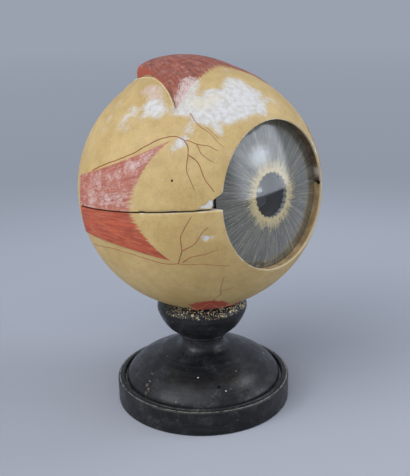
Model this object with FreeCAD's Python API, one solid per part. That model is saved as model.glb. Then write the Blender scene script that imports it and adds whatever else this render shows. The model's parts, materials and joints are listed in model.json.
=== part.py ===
import FreeCAD, Part
import math
import os

from FreeCAD import Vector

# Eye anatomy model: a globe of painted papier-mache, five times life size, that opens at its
# horizontal meridian and turns on an iron pin in a turned wooden stand.
# Millimetres. The stand frame has its origin under the middle of the foot, +Z up.
# The globe frame has its origin at the centre of the globe and looks along -Y; its seam lies
# in the plane z = 0. It is tipped back by `gaze_pitch` and lifted by `globe_height`.

os.makedirs("parts", exist_ok=True)

# ---------------------------------------------------------------- driving dimensions
globe_radius = 61.0
sclera_wall = 6.0
gaze_pitch = 4.6
seat_rise = 19.0          # from the top of the neck up to the bottom of the globe

cutter_reach = 2.0        # how far a cutter runs past what it cuts
slip_gap = 0.4            # between shells that nest and lift apart
seam_gap = 0.8            # the old halves no longer close
cap_seam_gap = 0.3        # the same at the choroid
glass_gap = 0.2           # along the axis, between the cornea, the iris plate and its groove
plate_gap = 0.3           # round the rims of the cornea and the iris plate

opening_radius = 34.5
groove_radius = 36.9
groove_front_depth = 5.9  # from the plane of the cut opening back to the groove

cornea_bulge = 6.0
cornea_wall = 1.3
iris_bulge = 3.2
iris_wall = 1.8
iris_dome_gap = 0.8       # between the iris's dome and the mouth that it stands in
pupil_cusp_radius = 11.2
pupil_lobe_radius = 10.2
pupil_lobes = 24

choroid_wall = 2.0
choroid_setback = 1.2     # choroid's front edge behind the groove
retina_wall = 1.2
retina_setback = 0.5      # retina's front edge behind the vitreous body's
vitreous_wall = 3.0

lens_radius = 22.0
lens_front_bulge = 6.0
lens_back_bulge = 11.0
lens_land = 0.4
lens_seat_gap = 0.15

ciliary_depth = 8.1       # from the choroid's front edge back to the vitreous body
ciliary_inner_radius = 26.0
ciliary_gap = 0.7         # between the ciliary ring and the front of the vitreous body
ciliary_front_slope = 0.4 # how far the ring's front leans back from rim to lip
ciliary_lip = 2.2         # height of the ring's inner lip
ciliary_land = 1.3        # flat left at the back, between the folds' slope and the choroid
process_count = 70
process_width = 1.3
process_rise = 2.2        # how far each fold stands proud of the ring
process_run = 9.0         # how far each fold reaches out from the lip
process_root = 1.0        # how deep its roots are sunk in the ring

nerve_radius = 8.0
nerve_angle = 15.0        # towards the nose, from the back pole
nerve_length = 17.0
nerve_sheath = 1.3
nerve_fit_gap = 0.3

dowel_radius = 1.6
dowel_depth = 8.0
dowel_rise = 5.0
dowel_gap = 0.3
dowel_end_gap = 0.05
dowel_bearings = (-155.0, -95.0, 95.0)

hook_bearing = 68.0
hook_pivot_height = -5.0
hook_pin_height = 13.5
hook_thickness = 1.2
hook_standoff = 0.5
hook_eye_radius = 3.0
hook_arm_width = 3.2
catch_pin_radius = 1.2
catch_pin_depth = 3.5
catch_pin_head_radius = 2.04
catch_pin_head = 0.8
catch_screw_radius = 1.3
catch_screw_depth = 5.0
catch_screw_head_radius = 2.6
screw_slot_width = 0.6
screw_slot_depth = 0.5
catch_turn_gap = 0.08
catch_slot_gap = 0.2
catch_head_gap = 0.3

lost_pin_bearing = -54.6
lost_pin_height = 14.0
lost_pin_radius = 0.7
lost_pin_depth = 4.0

muscle_front_rise = 0.35  # thickness of the straight muscles in front
muscle_middle_rise = 1.0  # and at the equator
muscle_back_rise = 1.9    # and at the cut end
inferior_back_rise = 1.3
superior_middle_rise = 2.2
superior_back_rise = 4.6
crown_front_rise = 0.3    # the same for the belly of the superior rectus
crown_middle_rise = 4.2
crown_back_rise = 7.2
crown_axis_height = 22.0  # of the axis that the crown is turned about, above the globe's centre
layer_sunk = 1.0          # how deep a crowned muscle starts in the globe before that is cut off
outline_margin = 1.0      # how far a layer reaches past its outline before that cuts it
superior_oblique_rise = 0.7
inferior_oblique_rise = 1.4
inferior_oblique_angles = (25.0, -128.0, 20.0)  # turns about Z, X and Z from the top of the globe
muscle_stop = 2.5         # how far inside the collar's widest the inferior rectus ends

chip_back = 2.7           # how far behind the rim of the opening the broken corner starts
chip_height = 4.0
chip_slope_run = 3.7
chip_slope_rise = 5.8

foot_radius = 46.1
foot_band_height = 12.8
foot_edge_round = 0.9
foot_bead_radius = 43.2
foot_bead_width = 1.5
foot_quirk_depth = 1.3
dome_radius = 41.4
dome_rise = 18.0          # of the whole swelling, part of which the neck's hollow cuts off
dome_fullness = 1.8       # 2 would be an ellipse, less is slacker
dome_end_angle = 66.0     # along the swelling, where the hollow under the neck begins
neck_radius = 11.1
neck_top = 35.0

collar_radius = 23.7
collar_widest_rise = 16.6 # from the top of the neck up to the collar's widest
collar_bottom_radius = 12.2
collar_rise = 7.3         # of its top moulding, part of which the globe's seat cuts off
collar_fullness_below = 1.5
fillet_radius = 12.7
fillet_height = 2.0
seat_gap = 0.3
tenon_radius = 6.5
tenon_length = 14.5
mortise_end_gap = 0.5

pin_radius = 2.5
pin_turn_gap = 0.05
pin_floor = 6.5           # wood left under the pin in the tenon
pin_rise = 7.5            # how far the pin stands into the bush
pin_end_gap = 0.5
pin_chamfer = 0.5
bush_radius = 6.0
bush_end_wall = 1.8
bush_fit_gap = 0.3

# ---------------------------------------------------------------- sizes that follow
far = 4.0 * globe_radius
globe_height = neck_top + seat_rise + globe_radius
sclera_inner = globe_radius - sclera_wall
choroid_outer = sclera_inner - slip_gap
choroid_inner = choroid_outer - choroid_wall
retina_inner = choroid_inner - retina_wall
vitreous_radius = retina_inner - slip_gap

opening_plane = -math.sqrt(globe_radius**2 - opening_radius**2)
groove_front = opening_plane + groove_front_depth
iris_rim = groove_front + glass_gap
cornea_rim = iris_rim - glass_gap - cornea_wall
groove_back = iris_rim + iris_wall + glass_gap
choroid_front = groove_back + choroid_setback
vitreous_front = choroid_front + ciliary_depth
retina_front = vitreous_front + retina_setback
ciliary_back = vitreous_front - ciliary_gap
ciliary_back_radius = math.sqrt(choroid_inner**2 - ciliary_back**2) - ciliary_land

collar_widest_height = neck_top + collar_widest_rise
pin_bottom = neck_top - tenon_length + pin_floor
pin_top = globe_height - globe_radius + pin_rise
bush_top = pin_top + pin_end_gap + bush_end_wall


# ---------------------------------------------------------------- helpers
def ball(radius, centre=Vector(0, 0, 0), pole=Vector(0, 0, 1)):
    return Part.makeSphere(radius, centre, pole)


def upright():
    """The stand's +Z in the globe frame."""
    return FreeCAD.Rotation(Vector(1, 0, 0), gaze_pitch).multVec(Vector(0, 0, 1))


def spherical_shell(outer, inner):
    """A shell whose lower pole falls inside the bore for the pivot bush."""
    centre = Vector(0, 0, 0)
    return ball(outer, centre, upright()).cut(ball(inner, centre, upright()))


def rod(radius, start, end):
    """A cylinder from one point to another."""
    along = end - start
    return Part.makeCylinder(radius, along.Length, start, along)


def behind(y):
    """Everything behind a plane across the optical axis."""
    return Part.makeBox(2 * far, far, 2 * far, Vector(-far, y, -far))


def below(z):
    return Part.makeBox(2 * far, 2 * far, far, Vector(-far, -far, z - far))


def above(z):
    return Part.makeBox(2 * far, 2 * far, far, Vector(-far, -far, z))


def line(a, b):
    return Part.LineSegment(a, b).toShape()


def arc(a, b, c):
    return Part.Arc(a, b, c).toShape()


def smooth(points):
    """A spline through the points."""
    curve = Part.BSplineCurve()
    curve.interpolate(Points=points)
    return curve.toShape()


def swelling(centre, reach, rise, fullness, last_angle=90.0, steps=5):
    """A turned moulding, a stretch of superellipse that starts upright at its widest point."""
    def at(angle):
        power = 2 / fullness
        return centre + Vector(reach * math.cos(math.radians(angle))**power, 0,
                               rise * math.sin(math.radians(angle))**power)

    points = [at(last_angle * step / steps) for step in range(steps + 1)]
    end = Vector(-1, 0, 0) if last_angle == 90 else at(last_angle + 0.1) - at(last_angle - 0.1)
    curve = Part.BSplineCurve()
    curve.interpolate(Points=points, InitialTangent=Vector(0, 0, math.copysign(1, rise)),
                      FinalTangent=end)
    return curve.toShape(), points[-1], end.normalize()


def face_of(edges):
    return Part.Face(Part.Wire(Part.sortEdges(edges)[0]))


def turned(edges):
    """A solid of revolution about the stand's axis; the edges lie in the XZ plane."""
    return face_of(edges).revolve(Vector(0, 0, 0), Vector(0, 0, 1), 360)


def globe_point(bearing, height, radius=globe_radius):
    """A point on the globe: bearing from straight ahead, positive towards +X, and height."""
    reach = math.sqrt(radius**2 - height**2)
    turn = math.radians(bearing)
    return Vector(reach * math.sin(turn), -reach * math.cos(turn), height)


def to_stand_frame(shape):
    moved = shape.copy()
    moved.rotate(Vector(0, 0, 0), Vector(1, 0, 0), -gaze_pitch)
    moved.translate(Vector(0, 0, globe_height))
    return moved


def to_globe_frame(shape):
    moved = shape.copy()
    moved.translate(Vector(0, 0, -globe_height))
    moved.rotate(Vector(0, 0, 0), Vector(1, 0, 0), gaze_pitch)
    return moved


def save(name, shape):
    shape.exportStep(f"parts/{name}.step")
    print(f"{name}: {len(shape.Solids)} solid, {shape.Volume / 1000:.2f} cm3")


def save_globe_piece(name, shape):
    save(name, to_stand_frame(shape))


# ---------------------------------------------------------------- the stand
def stand_foot():
    """Turned foot: upright band, small bead and quirk, then a dome that sweeps into the neck."""
    band_inner = foot_radius - foot_edge_round
    bead_outer = foot_bead_radius + foot_bead_width / 2
    bead_inner = foot_bead_radius - foot_bead_width / 2
    quirk_floor = foot_band_height - foot_quirk_depth
    bevel = foot_edge_round * (1 - math.sqrt(0.5))
    dome, dome_end, heading = swelling(Vector(0, 0, quirk_floor), dome_radius, dome_rise,
                                       dome_fullness, dome_end_angle)
    outward = Vector(heading.z, 0, -heading.x)
    hollow_radius = (dome_end.x - neck_radius) / (1 - outward.x)
    hollow_centre = dome_end + outward * hollow_radius
    to_middle = Vector(-1, 0, 0) - outward
    outline = [
        line(Vector(0, 0, 0), Vector(band_inner, 0, 0)),
        arc(Vector(band_inner, 0, 0), Vector(foot_radius - bevel, 0, bevel),
            Vector(foot_radius, 0, foot_edge_round)),
        line(Vector(foot_radius, 0, foot_edge_round),
             Vector(foot_radius, 0, foot_band_height - foot_edge_round)),
        arc(Vector(foot_radius, 0, foot_band_height - foot_edge_round),
            Vector(foot_radius - bevel, 0, foot_band_height - bevel),
            Vector(band_inner, 0, foot_band_height)),
        line(Vector(band_inner, 0, foot_band_height), Vector(bead_outer, 0, foot_band_height)),
        arc(Vector(bead_outer, 0, foot_band_height),
            Vector(foot_bead_radius, 0, foot_band_height + foot_bead_width / 2),
            Vector(bead_inner, 0, foot_band_height)),
        line(Vector(bead_inner, 0, foot_band_height), Vector(bead_inner, 0, quirk_floor)),
        line(Vector(bead_inner, 0, quirk_floor), Vector(dome_radius, 0, quirk_floor)),
        dome,
        arc(dome_end, hollow_centre + to_middle.normalize() * hollow_radius,
            hollow_centre - Vector(hollow_radius, 0, 0)),
        line(hollow_centre - Vector(hollow_radius, 0, 0), Vector(neck_radius, 0, neck_top)),
        line(Vector(neck_radius, 0, neck_top), Vector(0, 0, neck_top)),
        line(Vector(0, 0, neck_top), Vector(0, 0, 0)),
    ]
    mortise_bottom = neck_top - tenon_length - mortise_end_gap
    mortise = rod(tenon_radius, Vector(0, 0, mortise_bottom), Vector(0, 0, neck_top + cutter_reach))
    return turned(outline).cut(mortise)


def stand_collar():
    """Cushion-shaped collar on a tenon, dished to seat the globe and bored for the pin."""
    tenon_bottom = neck_top - tenon_length
    fillet_top = neck_top + fillet_height
    centre = Vector(collar_bottom_radius, 0, collar_widest_height)
    reach = collar_radius - collar_bottom_radius
    under = swelling(centre, reach, fillet_top - collar_widest_height, collar_fullness_below)[0]
    over, over_top, heading = swelling(centre, reach, collar_rise, 2.0)
    outline = [
        line(Vector(0, 0, tenon_bottom), Vector(tenon_radius, 0, tenon_bottom)),
        line(Vector(tenon_radius, 0, tenon_bottom), Vector(tenon_radius, 0, neck_top)),
        line(Vector(tenon_radius, 0, neck_top), Vector(neck_radius, 0, neck_top)),
        arc(Vector(neck_radius, 0, neck_top), Vector(fillet_radius, 0, neck_top + fillet_height / 2),
            Vector(collar_bottom_radius, 0, fillet_top)),
        under,
        over,
        line(over_top, Vector(0, 0, over_top.z)),
        line(Vector(0, 0, over_top.z), Vector(0, 0, tenon_bottom)),
    ]
    seat = ball(globe_radius + seat_gap, Vector(0, 0, globe_height))
    bore = rod(pin_radius, Vector(0, 0, pin_bottom), Vector(0, 0, globe_height))
    return turned(outline).cut(seat).cut(bore)


def pivot_pin():
    pin = rod(pin_radius, Vector(0, 0, pin_bottom), Vector(0, 0, pin_top))
    tip = [edge for edge in pin.Edges if abs(edge.CenterOfMass.z - pin_top) < 0.01]
    return pin.makeChamfer(pin_chamfer, tip)


def bush_blank(radius):
    return rod(radius, Vector(0, 0, 0), Vector(0, 0, bush_top))


def pivot_bush():
    """Brass thimble let into the bottom of the globe; the pin turns in its blind bore."""
    hole = rod(pin_radius + pin_turn_gap, Vector(0, 0, 0), Vector(0, 0, pin_top + pin_end_gap))
    return bush_blank(bush_radius).common(ball(globe_radius, Vector(0, 0, globe_height))).cut(hole)


# ---------------------------------------------------------------- outer shell
def nerve_rod(radius, start, end):
    turn = math.radians(nerve_angle)
    along = Vector(math.sin(turn), math.cos(turn), 0)
    return rod(radius, along * start, along * end)


def sclera_blank():
    """Both halves of the outer shell, with the eye opening and the groove for the iris plate."""
    opening = rod(opening_radius, Vector(0, -far, 0), Vector(0, 0, 0))
    groove = rod(groove_radius, Vector(0, groove_front, 0), Vector(0, groove_back, 0))
    return spherical_shell(globe_radius, sclera_inner).cut(opening).cut(groove)


def dowel_points():
    middle = globe_radius - sclera_wall / 2
    return [globe_point(bearing, 0, middle) for bearing in dowel_bearings]


def dowel_rods(radius, bottom, top):
    return [rod(radius, point + Vector(0, 0, bottom), point + Vector(0, 0, top))
            for point in dowel_points()]


def seam_dowels():
    return Part.makeCompound(dowel_rods(dowel_radius, -dowel_depth, dowel_rise))


def sclera_lower(blank):
    shell = blank.common(below(0))
    shell = shell.cut(nerve_rod(nerve_radius, 0, far))
    shell = shell.cut(to_globe_frame(bush_blank(bush_radius)))
    for dowel in dowel_rods(dowel_radius, -dowel_depth, dowel_rise):
        shell = shell.cut(dowel)
    return shell.cut(catch_screw_shank())


def broken_corner():
    """The wedge that broke off the upper half where the seam meets the opening."""
    back = opening_plane + chip_back
    edge = [
        Vector(0, back, -cutter_reach),
        Vector(0, back, chip_height),
        Vector(0, back - 2 * chip_slope_run, chip_height + 2 * chip_slope_rise),
        Vector(0, -far, -cutter_reach),
    ]
    outline = Part.makePolygon(edge + edge[:1])
    return Part.Face(outline).extrude(Vector(-far, 0, 0))


def lost_pin_hole():
    surface = globe_point(lost_pin_bearing, lost_pin_height)
    inward = surface * (-lost_pin_depth / globe_radius)
    return rod(lost_pin_radius, surface * (1 + cutter_reach / globe_radius), surface + inward)


def sclera_upper(blank):
    shell = blank.common(above(seam_gap))
    shell = shell.cut(nerve_rod(nerve_radius + nerve_fit_gap, 0, far))
    for hole in dowel_rods(dowel_radius + dowel_gap, 0, dowel_rise + dowel_end_gap):
        shell = shell.cut(hole)
    return shell.cut(broken_corner()).cut(lost_pin_hole()).cut(catch_pin_shank())


def optic_nerve():
    """Stump of the nerve: a sheath round the nerve itself, cut square, with a ring between."""
    tip = globe_radius + nerve_length
    stump = nerve_rod(nerve_radius, sclera_inner + slip_gap, tip)
    ring = nerve_rod(nerve_radius - nerve_sheath, tip - nerve_sheath, tip)
    core = nerve_rod(nerve_radius - 2 * nerve_sheath, tip - 2 * nerve_sheath, tip)
    return stump.cut(ring).fuse(core).removeSplitter()


# ---------------------------------------------------------------- muscles in relief
def plan_point(across, back):
    """A point of the globe seen from above, from its angles across the globe and backwards."""
    return Vector(globe_radius * math.sin(math.radians(across)),
                  globe_radius * math.sin(math.radians(back)), 0)


class MuscleOutline:
    """Plan of a straight muscle in degrees on the globe: tips, waist and cut end on either side."""

    def __init__(self, right, left, middle_front):
        self.right = [plan_point(*point) for point in right]
        self.left = [plan_point(*point) for point in left]
        self.middle_front = plan_point(*middle_front)

    def prism(self):
        edges = [
            smooth(self.right),
            line(self.right[-1], self.left[-1]),
            smooth(self.left),
            arc(self.left[0], self.middle_front, self.right[0]),
        ]
        return face_of(edges).extrude(Vector(0, 0, far))


def relief_layer(front, back, rises, axis_height=0.0, sunk=0.0):
    """A layer over the globe between two planes across the optical axis, thicker to the rear.

    Turned about an axis above the globe's centre, it is crowned from side to side."""
    def at(y, rise):
        surface = Vector(math.sqrt(globe_radius**2 - y**2), y, 0)
        return surface * (1 + rise / globe_radius) - Vector(axis_height, 0, 0)

    rise_front, rise_middle, rise_back = rises
    profile = face_of([
        arc(at(front, -sunk), at(0, -sunk), at(back, -sunk)),
        line(at(back, -sunk), at(back, rise_back)),
        arc(at(back, rise_back), at(0, rise_middle), at(front, rise_front)),
        line(at(front, rise_front), at(front, -sunk)),
    ])
    layer = profile.revolve(Vector(0, 0, 0), Vector(0, 1, 0), -180)
    layer.translate(Vector(0, 0, axis_height))
    return layer


lateral_outline = MuscleOutline(
    right=[(31.1, -31.8), (24.9, -18.8), (20.6, -7.0), (13.8, 19.0)],
    left=[(-22.8, -31.2), (-18.2, -18.0), (-15.0, -4.0), (-12.5, 19.0)],
    middle_front=(4.0, -19.8),
)
medial_outline = MuscleOutline(
    right=[(24.0, -27.0), (19.5, -14.0), (16.0, -2.0), (13.5, 19.0)],
    left=[(-24.0, -27.0), (-19.5, -14.0), (-16.0, -2.0), (-13.5, 19.0)],
    middle_front=(0.0, -15.0),
)
superior_outline = MuscleOutline(
    right=[(35.8, -26.6), (29.1, -12.8), (23.6, 0.0), (18.0, 13.5), (17.5, 18.5)],
    left=[(-35.8, -26.6), (-29.1, -12.8), (-23.6, 0.0), (-18.0, 13.5), (-17.5, 18.5)],
    middle_front=(0.0, -21.6),
)
inferior_outline = MuscleOutline(
    right=[(24.6, -27.3), (19.5, -13.5), (16.0, -1.9), (14.5, 8.0)],
    left=[(-24.6, -27.3), (-19.5, -13.5), (-16.0, -1.9), (-14.5, 8.0)],
    middle_front=(0.0, -19.0),
)
superior_oblique_degrees = [(-11.5, 17.5), (-15.5, -3.8), (-29.4, -17.5), (-37.5, -10.6),
                            (-41.8, 2.9), (-32.2, 16.5)]
inferior_oblique_degrees = [(-21.5, -6.7), (0.0, -8.6), (19.5, -11.5), (23.6, 0.0),
                            (19.5, 9.6), (0.0, 7.2), (-21.5, 5.7)]


def muscle_layer(outline, rises, axis_height=0.0, sunk=0.0):
    """A layer over the top of the globe, cut to its outline."""
    front = min(point.y for point in outline.right + outline.left) - outline_margin
    back = outline.right[-1].y + outline_margin
    return relief_layer(front, back, rises, axis_height, sunk).common(outline.prism())


def straight_muscle(outline, turn, rises):
    """A straight muscle laid over the top of the globe, then turned about the optical axis."""
    muscle = muscle_layer(outline, rises)
    muscle.rotate(Vector(0, 0, 0), Vector(0, 1, 0), turn)
    return muscle


def lateral_rectus():
    rises = (muscle_front_rise, muscle_middle_rise, muscle_back_rise)
    return straight_muscle(lateral_outline, -90, rises)


def medial_rectus():
    rises = (muscle_front_rise, muscle_middle_rise, muscle_back_rise)
    return straight_muscle(medial_outline, 90, rises)


def superior_rectus():
    """The thickest muscle, an even layer with a belly that is crowned across it."""
    layer_rises = (muscle_front_rise, superior_middle_rise, superior_back_rise)
    belly_rises = (crown_front_rise, crown_middle_rise, crown_back_rise)
    layer = muscle_layer(superior_outline, layer_rises, 0.0, layer_sunk)
    belly = muscle_layer(superior_outline, belly_rises, crown_axis_height, layer_sunk)
    return layer.fuse(belly).cut(ball(globe_radius, pole=Vector(0, 1, 0)))


def inferior_rectus():
    rises = (muscle_front_rise, muscle_middle_rise, inferior_back_rise)
    muscle = straight_muscle(inferior_outline, 180, rises)
    over_collar = rod(collar_radius - muscle_stop, Vector(0, 0, 0), Vector(0, 0, globe_height))
    return muscle.cut(to_globe_frame(over_collar))


def low_patch(outline, rise):
    """A patch of even thickness on top of the globe, inside a smooth closed outline."""
    curve = Part.BSplineCurve()
    curve.interpolate(Points=[plan_point(*point) for point in outline], PeriodicFlag=True)
    prism = face_of([curve.toShape()]).extrude(Vector(0, 0, far))
    return spherical_shell(globe_radius + rise, globe_radius).common(prism)


def superior_oblique():
    """Tendon fan that comes out from under the superior rectus on the temple side."""
    return low_patch(superior_oblique_degrees, superior_oblique_rise).cut(superior_outline.prism())


def inferior_oblique():
    """Muscle strap that wraps under the globe to its insertion behind the lateral rectus."""
    strap = low_patch(inferior_oblique_degrees, inferior_oblique_rise)
    for axis, turn in zip((Vector(0, 0, 1), Vector(1, 0, 0), Vector(0, 0, 1)), inferior_oblique_angles):
        strap.rotate(Vector(0, 0, 0), axis, turn)
    return strap


# ---------------------------------------------------------------- linings
def choroid_blank():
    return spherical_shell(choroid_outer, choroid_inner).common(behind(choroid_front))


def retina_blank():
    return spherical_shell(choroid_inner, retina_inner).common(behind(retina_front))


def around_bush():
    return to_globe_frame(bush_blank(bush_radius + bush_fit_gap))


def ciliary_profile():
    """Section of the ciliary ring: distance from the axis as x, place along the axis as y."""
    def on_lining(y):
        return Vector(math.sqrt(choroid_inner**2 - y**2), y, 0)

    lip_front = Vector(ciliary_inner_radius, choroid_front + ciliary_front_slope, 0)
    lip_back = lip_front + Vector(0, ciliary_lip, 0)
    slope_foot = Vector(ciliary_back_radius, ciliary_back, 0)
    return [
        line(on_lining(choroid_front), lip_front),
        line(lip_front, lip_back),
        line(lip_back, slope_foot),
        line(slope_foot, on_lining(ciliary_back)),
        arc(on_lining(ciliary_back), on_lining((choroid_front + ciliary_back) / 2),
            on_lining(choroid_front)),
    ]


def ciliary_process():
    """One radial fold of the ciliary ring, tallest where it faces the lens."""
    lip_back = Vector(ciliary_inner_radius, choroid_front + ciliary_front_slope + ciliary_lip, 0)
    slope = (Vector(ciliary_back_radius, ciliary_back, 0) - lip_back).normalize()
    proud = Vector(-slope.y, slope.x, 0)
    root = -proud * process_root
    foot = lip_back + slope * process_run
    tip = lip_back - Vector(process_rise, 0, 0)
    points = [
        lip_back + root + Vector(process_root, -ciliary_lip / 2, 0),
        tip + Vector(process_rise / 4, -ciliary_lip * 0.8, 0),
        tip - Vector(0, ciliary_lip / 5, 0),
        tip + Vector(process_rise / 2, process_rise * 0.75, 0),
        lip_back + slope * (process_run / 4) + proud * process_rise,
        foot,
        foot + root,
    ]
    plate = Part.Face(Part.makePolygon(points + points[:1]))
    plate.translate(Vector(0, 0, -process_width / 2))
    return plate.extrude(Vector(0, 0, process_width))


def ciliary_halves():
    ring = face_of(ciliary_profile()).revolve(Vector(0, 0, 0), Vector(0, 1, 0), 360)
    fold = ciliary_process()
    folds = []
    for index in range(process_count):
        copy = fold.copy()
        copy.rotate(Vector(0, 0, 0), Vector(0, 1, 0), (index + 0.5) * 360 / process_count)
        folds.append(copy)
    pleated = ring.multiFuse(folds)
    return pleated.common(below(0)), pleated.common(above(cap_seam_gap))


# ---------------------------------------------------------------- plates and glass
def dished_plate(radius, dome_radius, rim, bulge, wall):
    """A disc on the optical axis, its rim's front at y = rim, that bulges inside dome_radius."""
    def dome(y):
        """Half of an arc across the dome, from its rim to the axis."""
        sphere_radius = (dome_radius**2 + bulge**2) / (2 * bulge)
        middle = dome_radius / 2
        rise = math.sqrt(sphere_radius**2 - middle**2) - (sphere_radius - bulge)
        return arc(Vector(dome_radius, y, 0), Vector(middle, y - rise, 0), Vector(0, y - bulge, 0))

    outline = [
        dome(rim),
        line(Vector(0, rim - bulge, 0), Vector(0, rim - bulge + wall, 0)),
        dome(rim + wall),
        line(Vector(radius, rim + wall, 0), Vector(radius, rim, 0)),
    ]
    if radius > dome_radius:
        outline.append(line(Vector(dome_radius, rim, 0), Vector(radius, rim, 0)))
        outline.append(line(Vector(dome_radius, rim + wall, 0), Vector(radius, rim + wall, 0)))
    return face_of(outline).revolve(Vector(0, 0, 0), Vector(0, 1, 0), 360)


def cornea():
    """Domed glass, pushed into the mouth of the opening from the front."""
    radius = opening_radius - plate_gap
    return dished_plate(radius, radius, cornea_rim, cornea_bulge, cornea_wall)


def pupil_prism():
    """The pupil: a ring of small lobes that meet in cusps."""
    def at(radius, step):
        turn = 2 * math.pi * step / pupil_lobes
        return Vector(radius * math.cos(turn), -globe_radius, radius * math.sin(turn))

    lobes = [arc(at(pupil_cusp_radius, step), at(pupil_lobe_radius, step + 0.5),
                 at(pupil_cusp_radius, step + 1)) for step in range(pupil_lobes)]
    return face_of(lobes).extrude(Vector(0, globe_radius, 0))


def iris_disc():
    """Domed plate with a flat flange that the groove of both halves holds."""
    plate = dished_plate(groove_radius - plate_gap, opening_radius - iris_dome_gap, iris_rim,
                         iris_bulge, iris_wall)
    return plate.cut(pupil_prism())


def lens_back_ball(extra):
    radius = (lens_radius**2 + lens_back_bulge**2) / (2 * lens_back_bulge)
    return ball(radius + extra, Vector(0, vitreous_front + lens_back_bulge - radius, 0))


def lens():
    radius = (lens_radius**2 + lens_front_bulge**2) / (2 * lens_front_bulge)
    front_ball = ball(radius, Vector(0, vitreous_front - lens_front_bulge + radius, 0))
    column = rod(lens_radius - lens_land, Vector(0, -globe_radius, 0), Vector(0, 0, 0))
    return front_ball.common(lens_back_ball(0)).common(column)


def vitreous_body():
    """Blown-glass body, flat in front, with a dish that seats the lens."""
    outside = ball(vitreous_radius).common(behind(vitreous_front)).cut(lens_back_ball(lens_seat_gap))
    inside = ball(vitreous_radius - vitreous_wall).common(behind(vitreous_front + vitreous_wall))
    return outside.cut(inside.cut(lens_back_ball(lens_seat_gap + vitreous_wall)))


# ---------------------------------------------------------------- catch on the nose side
def catch_axes():
    """Pivot of the hook on the lower half, the way out of the globe there, and the way up."""
    pivot = globe_point(hook_bearing, hook_pivot_height)
    outward = pivot * (1 / globe_radius)
    upward = upright() - outward * upright().dot(outward)
    return pivot, outward, upward.normalize()


def hook_length():
    angle = math.asin(hook_pin_height / globe_radius) - math.asin(hook_pivot_height / globe_radius)
    return globe_radius * math.sin(angle)


def catch_screw_shank():
    pivot, outward, upward = catch_axes()
    return rod(catch_screw_radius, pivot - outward * catch_screw_depth,
               pivot + outward * cutter_reach)


def catch_screw():
    """Round-headed screw that the hook turns on."""
    pivot, outward, upward = catch_axes()
    head_under = hook_standoff + hook_thickness + catch_head_gap
    shank = rod(catch_screw_radius, pivot - outward * catch_screw_depth, pivot + outward * head_under)
    head_radius = catch_screw_head_radius
    head_rise = head_radius / 2
    centre = pivot + outward * (head_under - head_radius + head_rise)
    above_hook = rod(head_radius, pivot + outward * head_under,
                     pivot + outward * (head_under + head_radius))
    head = ball(head_radius, centre).common(above_hook)
    slot = Part.makeBox(4 * head_radius, screw_slot_width, head_radius)
    slot.translate(Vector(-2 * head_radius, -screw_slot_width / 2, head_rise - screw_slot_depth))
    slot.Placement = frame_placement(upward.cross(outward), upward, outward,
                                     pivot + outward * head_under).multiply(slot.Placement)
    return shank.fuse(head).removeSplitter().cut(slot)


def catch_pin_point():
    pivot, outward, upward = catch_axes()
    return pivot + upward * hook_length()


def catch_pin_shank():
    pivot, outward, upward = catch_axes()
    drop = globe_radius - math.sqrt(globe_radius**2 - hook_length()**2)
    point = catch_pin_point()
    return rod(catch_pin_radius, point - outward * (drop + catch_pin_depth),
               point + outward * cutter_reach)


def catch_pin():
    """Headed pin on the upper half that the hook catches."""
    pivot, outward, upward = catch_axes()
    point = catch_pin_point()
    drop = globe_radius - math.sqrt(globe_radius**2 - hook_length()**2)
    head_under = hook_standoff + hook_thickness + catch_head_gap
    shank = rod(catch_pin_radius, point - outward * (drop + catch_pin_depth),
                point + outward * head_under)
    head = rod(catch_pin_head_radius, point + outward * head_under,
               point + outward * (head_under + catch_pin_head))
    return shank.fuse(head)


def frame_placement(x_axis, y_axis, z_axis, origin):
    return FreeCAD.Placement(FreeCAD.Matrix(
        x_axis.x, y_axis.x, z_axis.x, origin.x,
        x_axis.y, y_axis.y, z_axis.y, origin.y,
        x_axis.z, y_axis.z, z_axis.z, origin.z,
        0, 0, 0, 1))


def catch_hook():
    """Flat brass hook that hangs from its screw; its mouth opens towards the eye opening."""
    length = hook_length()
    slot_radius = catch_pin_radius + catch_slot_gap
    half = hook_arm_width / 2
    eye = rod(hook_eye_radius, Vector(0, 0, 0), Vector(0, 0, hook_thickness))
    tip = rod(hook_eye_radius, Vector(0, -length, 0), Vector(0, -length, hook_thickness))
    arm = Part.makeBox(hook_arm_width, length, hook_thickness, Vector(-half, -length, 0))
    hook = eye.multiFuse([tip, arm]).removeSplitter()
    under, over = Vector(0, 0, -cutter_reach), Vector(0, 0, hook_thickness + cutter_reach)
    at_pin = Vector(0, -length, 0)
    hook = hook.cut(rod(catch_screw_radius + catch_turn_gap, under, over))
    hook = hook.cut(rod(slot_radius, at_pin + under, at_pin + over))
    mouth = Part.makeBox(2 * hook_eye_radius, 2 * slot_radius, hook_thickness + 2 * cutter_reach)
    mouth.translate(Vector(-2 * hook_eye_radius, -length - slot_radius, -cutter_reach))
    hook = hook.cut(mouth)
    pivot, outward, upward = catch_axes()
    hook.Placement = frame_placement(upward.cross(outward), upward, outward,
                                     pivot + outward * hook_standoff)
    return hook


# ---------------------------------------------------------------- the whole model
save("stand_foot", stand_foot())
save("stand_collar", stand_collar())
save("pivot_pin", pivot_pin())
save("pivot_bush", pivot_bush())

shell_blank = sclera_blank()
save_globe_piece("sclera_lower", sclera_lower(shell_blank))
save_globe_piece("sclera_upper", sclera_upper(shell_blank))
save_globe_piece("seam_dowels", seam_dowels())
save_globe_piece("optic_nerve", optic_nerve())

for side, muscle in (("lateral", lateral_rectus()), ("medial", medial_rectus())):
    save_globe_piece(f"{side}_rectus_lower", muscle.common(below(0)))
    save_globe_piece(f"{side}_rectus_upper", muscle.common(above(seam_gap)))
save_globe_piece("superior_rectus", superior_rectus())
save_globe_piece("inferior_rectus", inferior_rectus())
save_globe_piece("superior_oblique", superior_oblique())
save_globe_piece("inferior_oblique", inferior_oblique())

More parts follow.
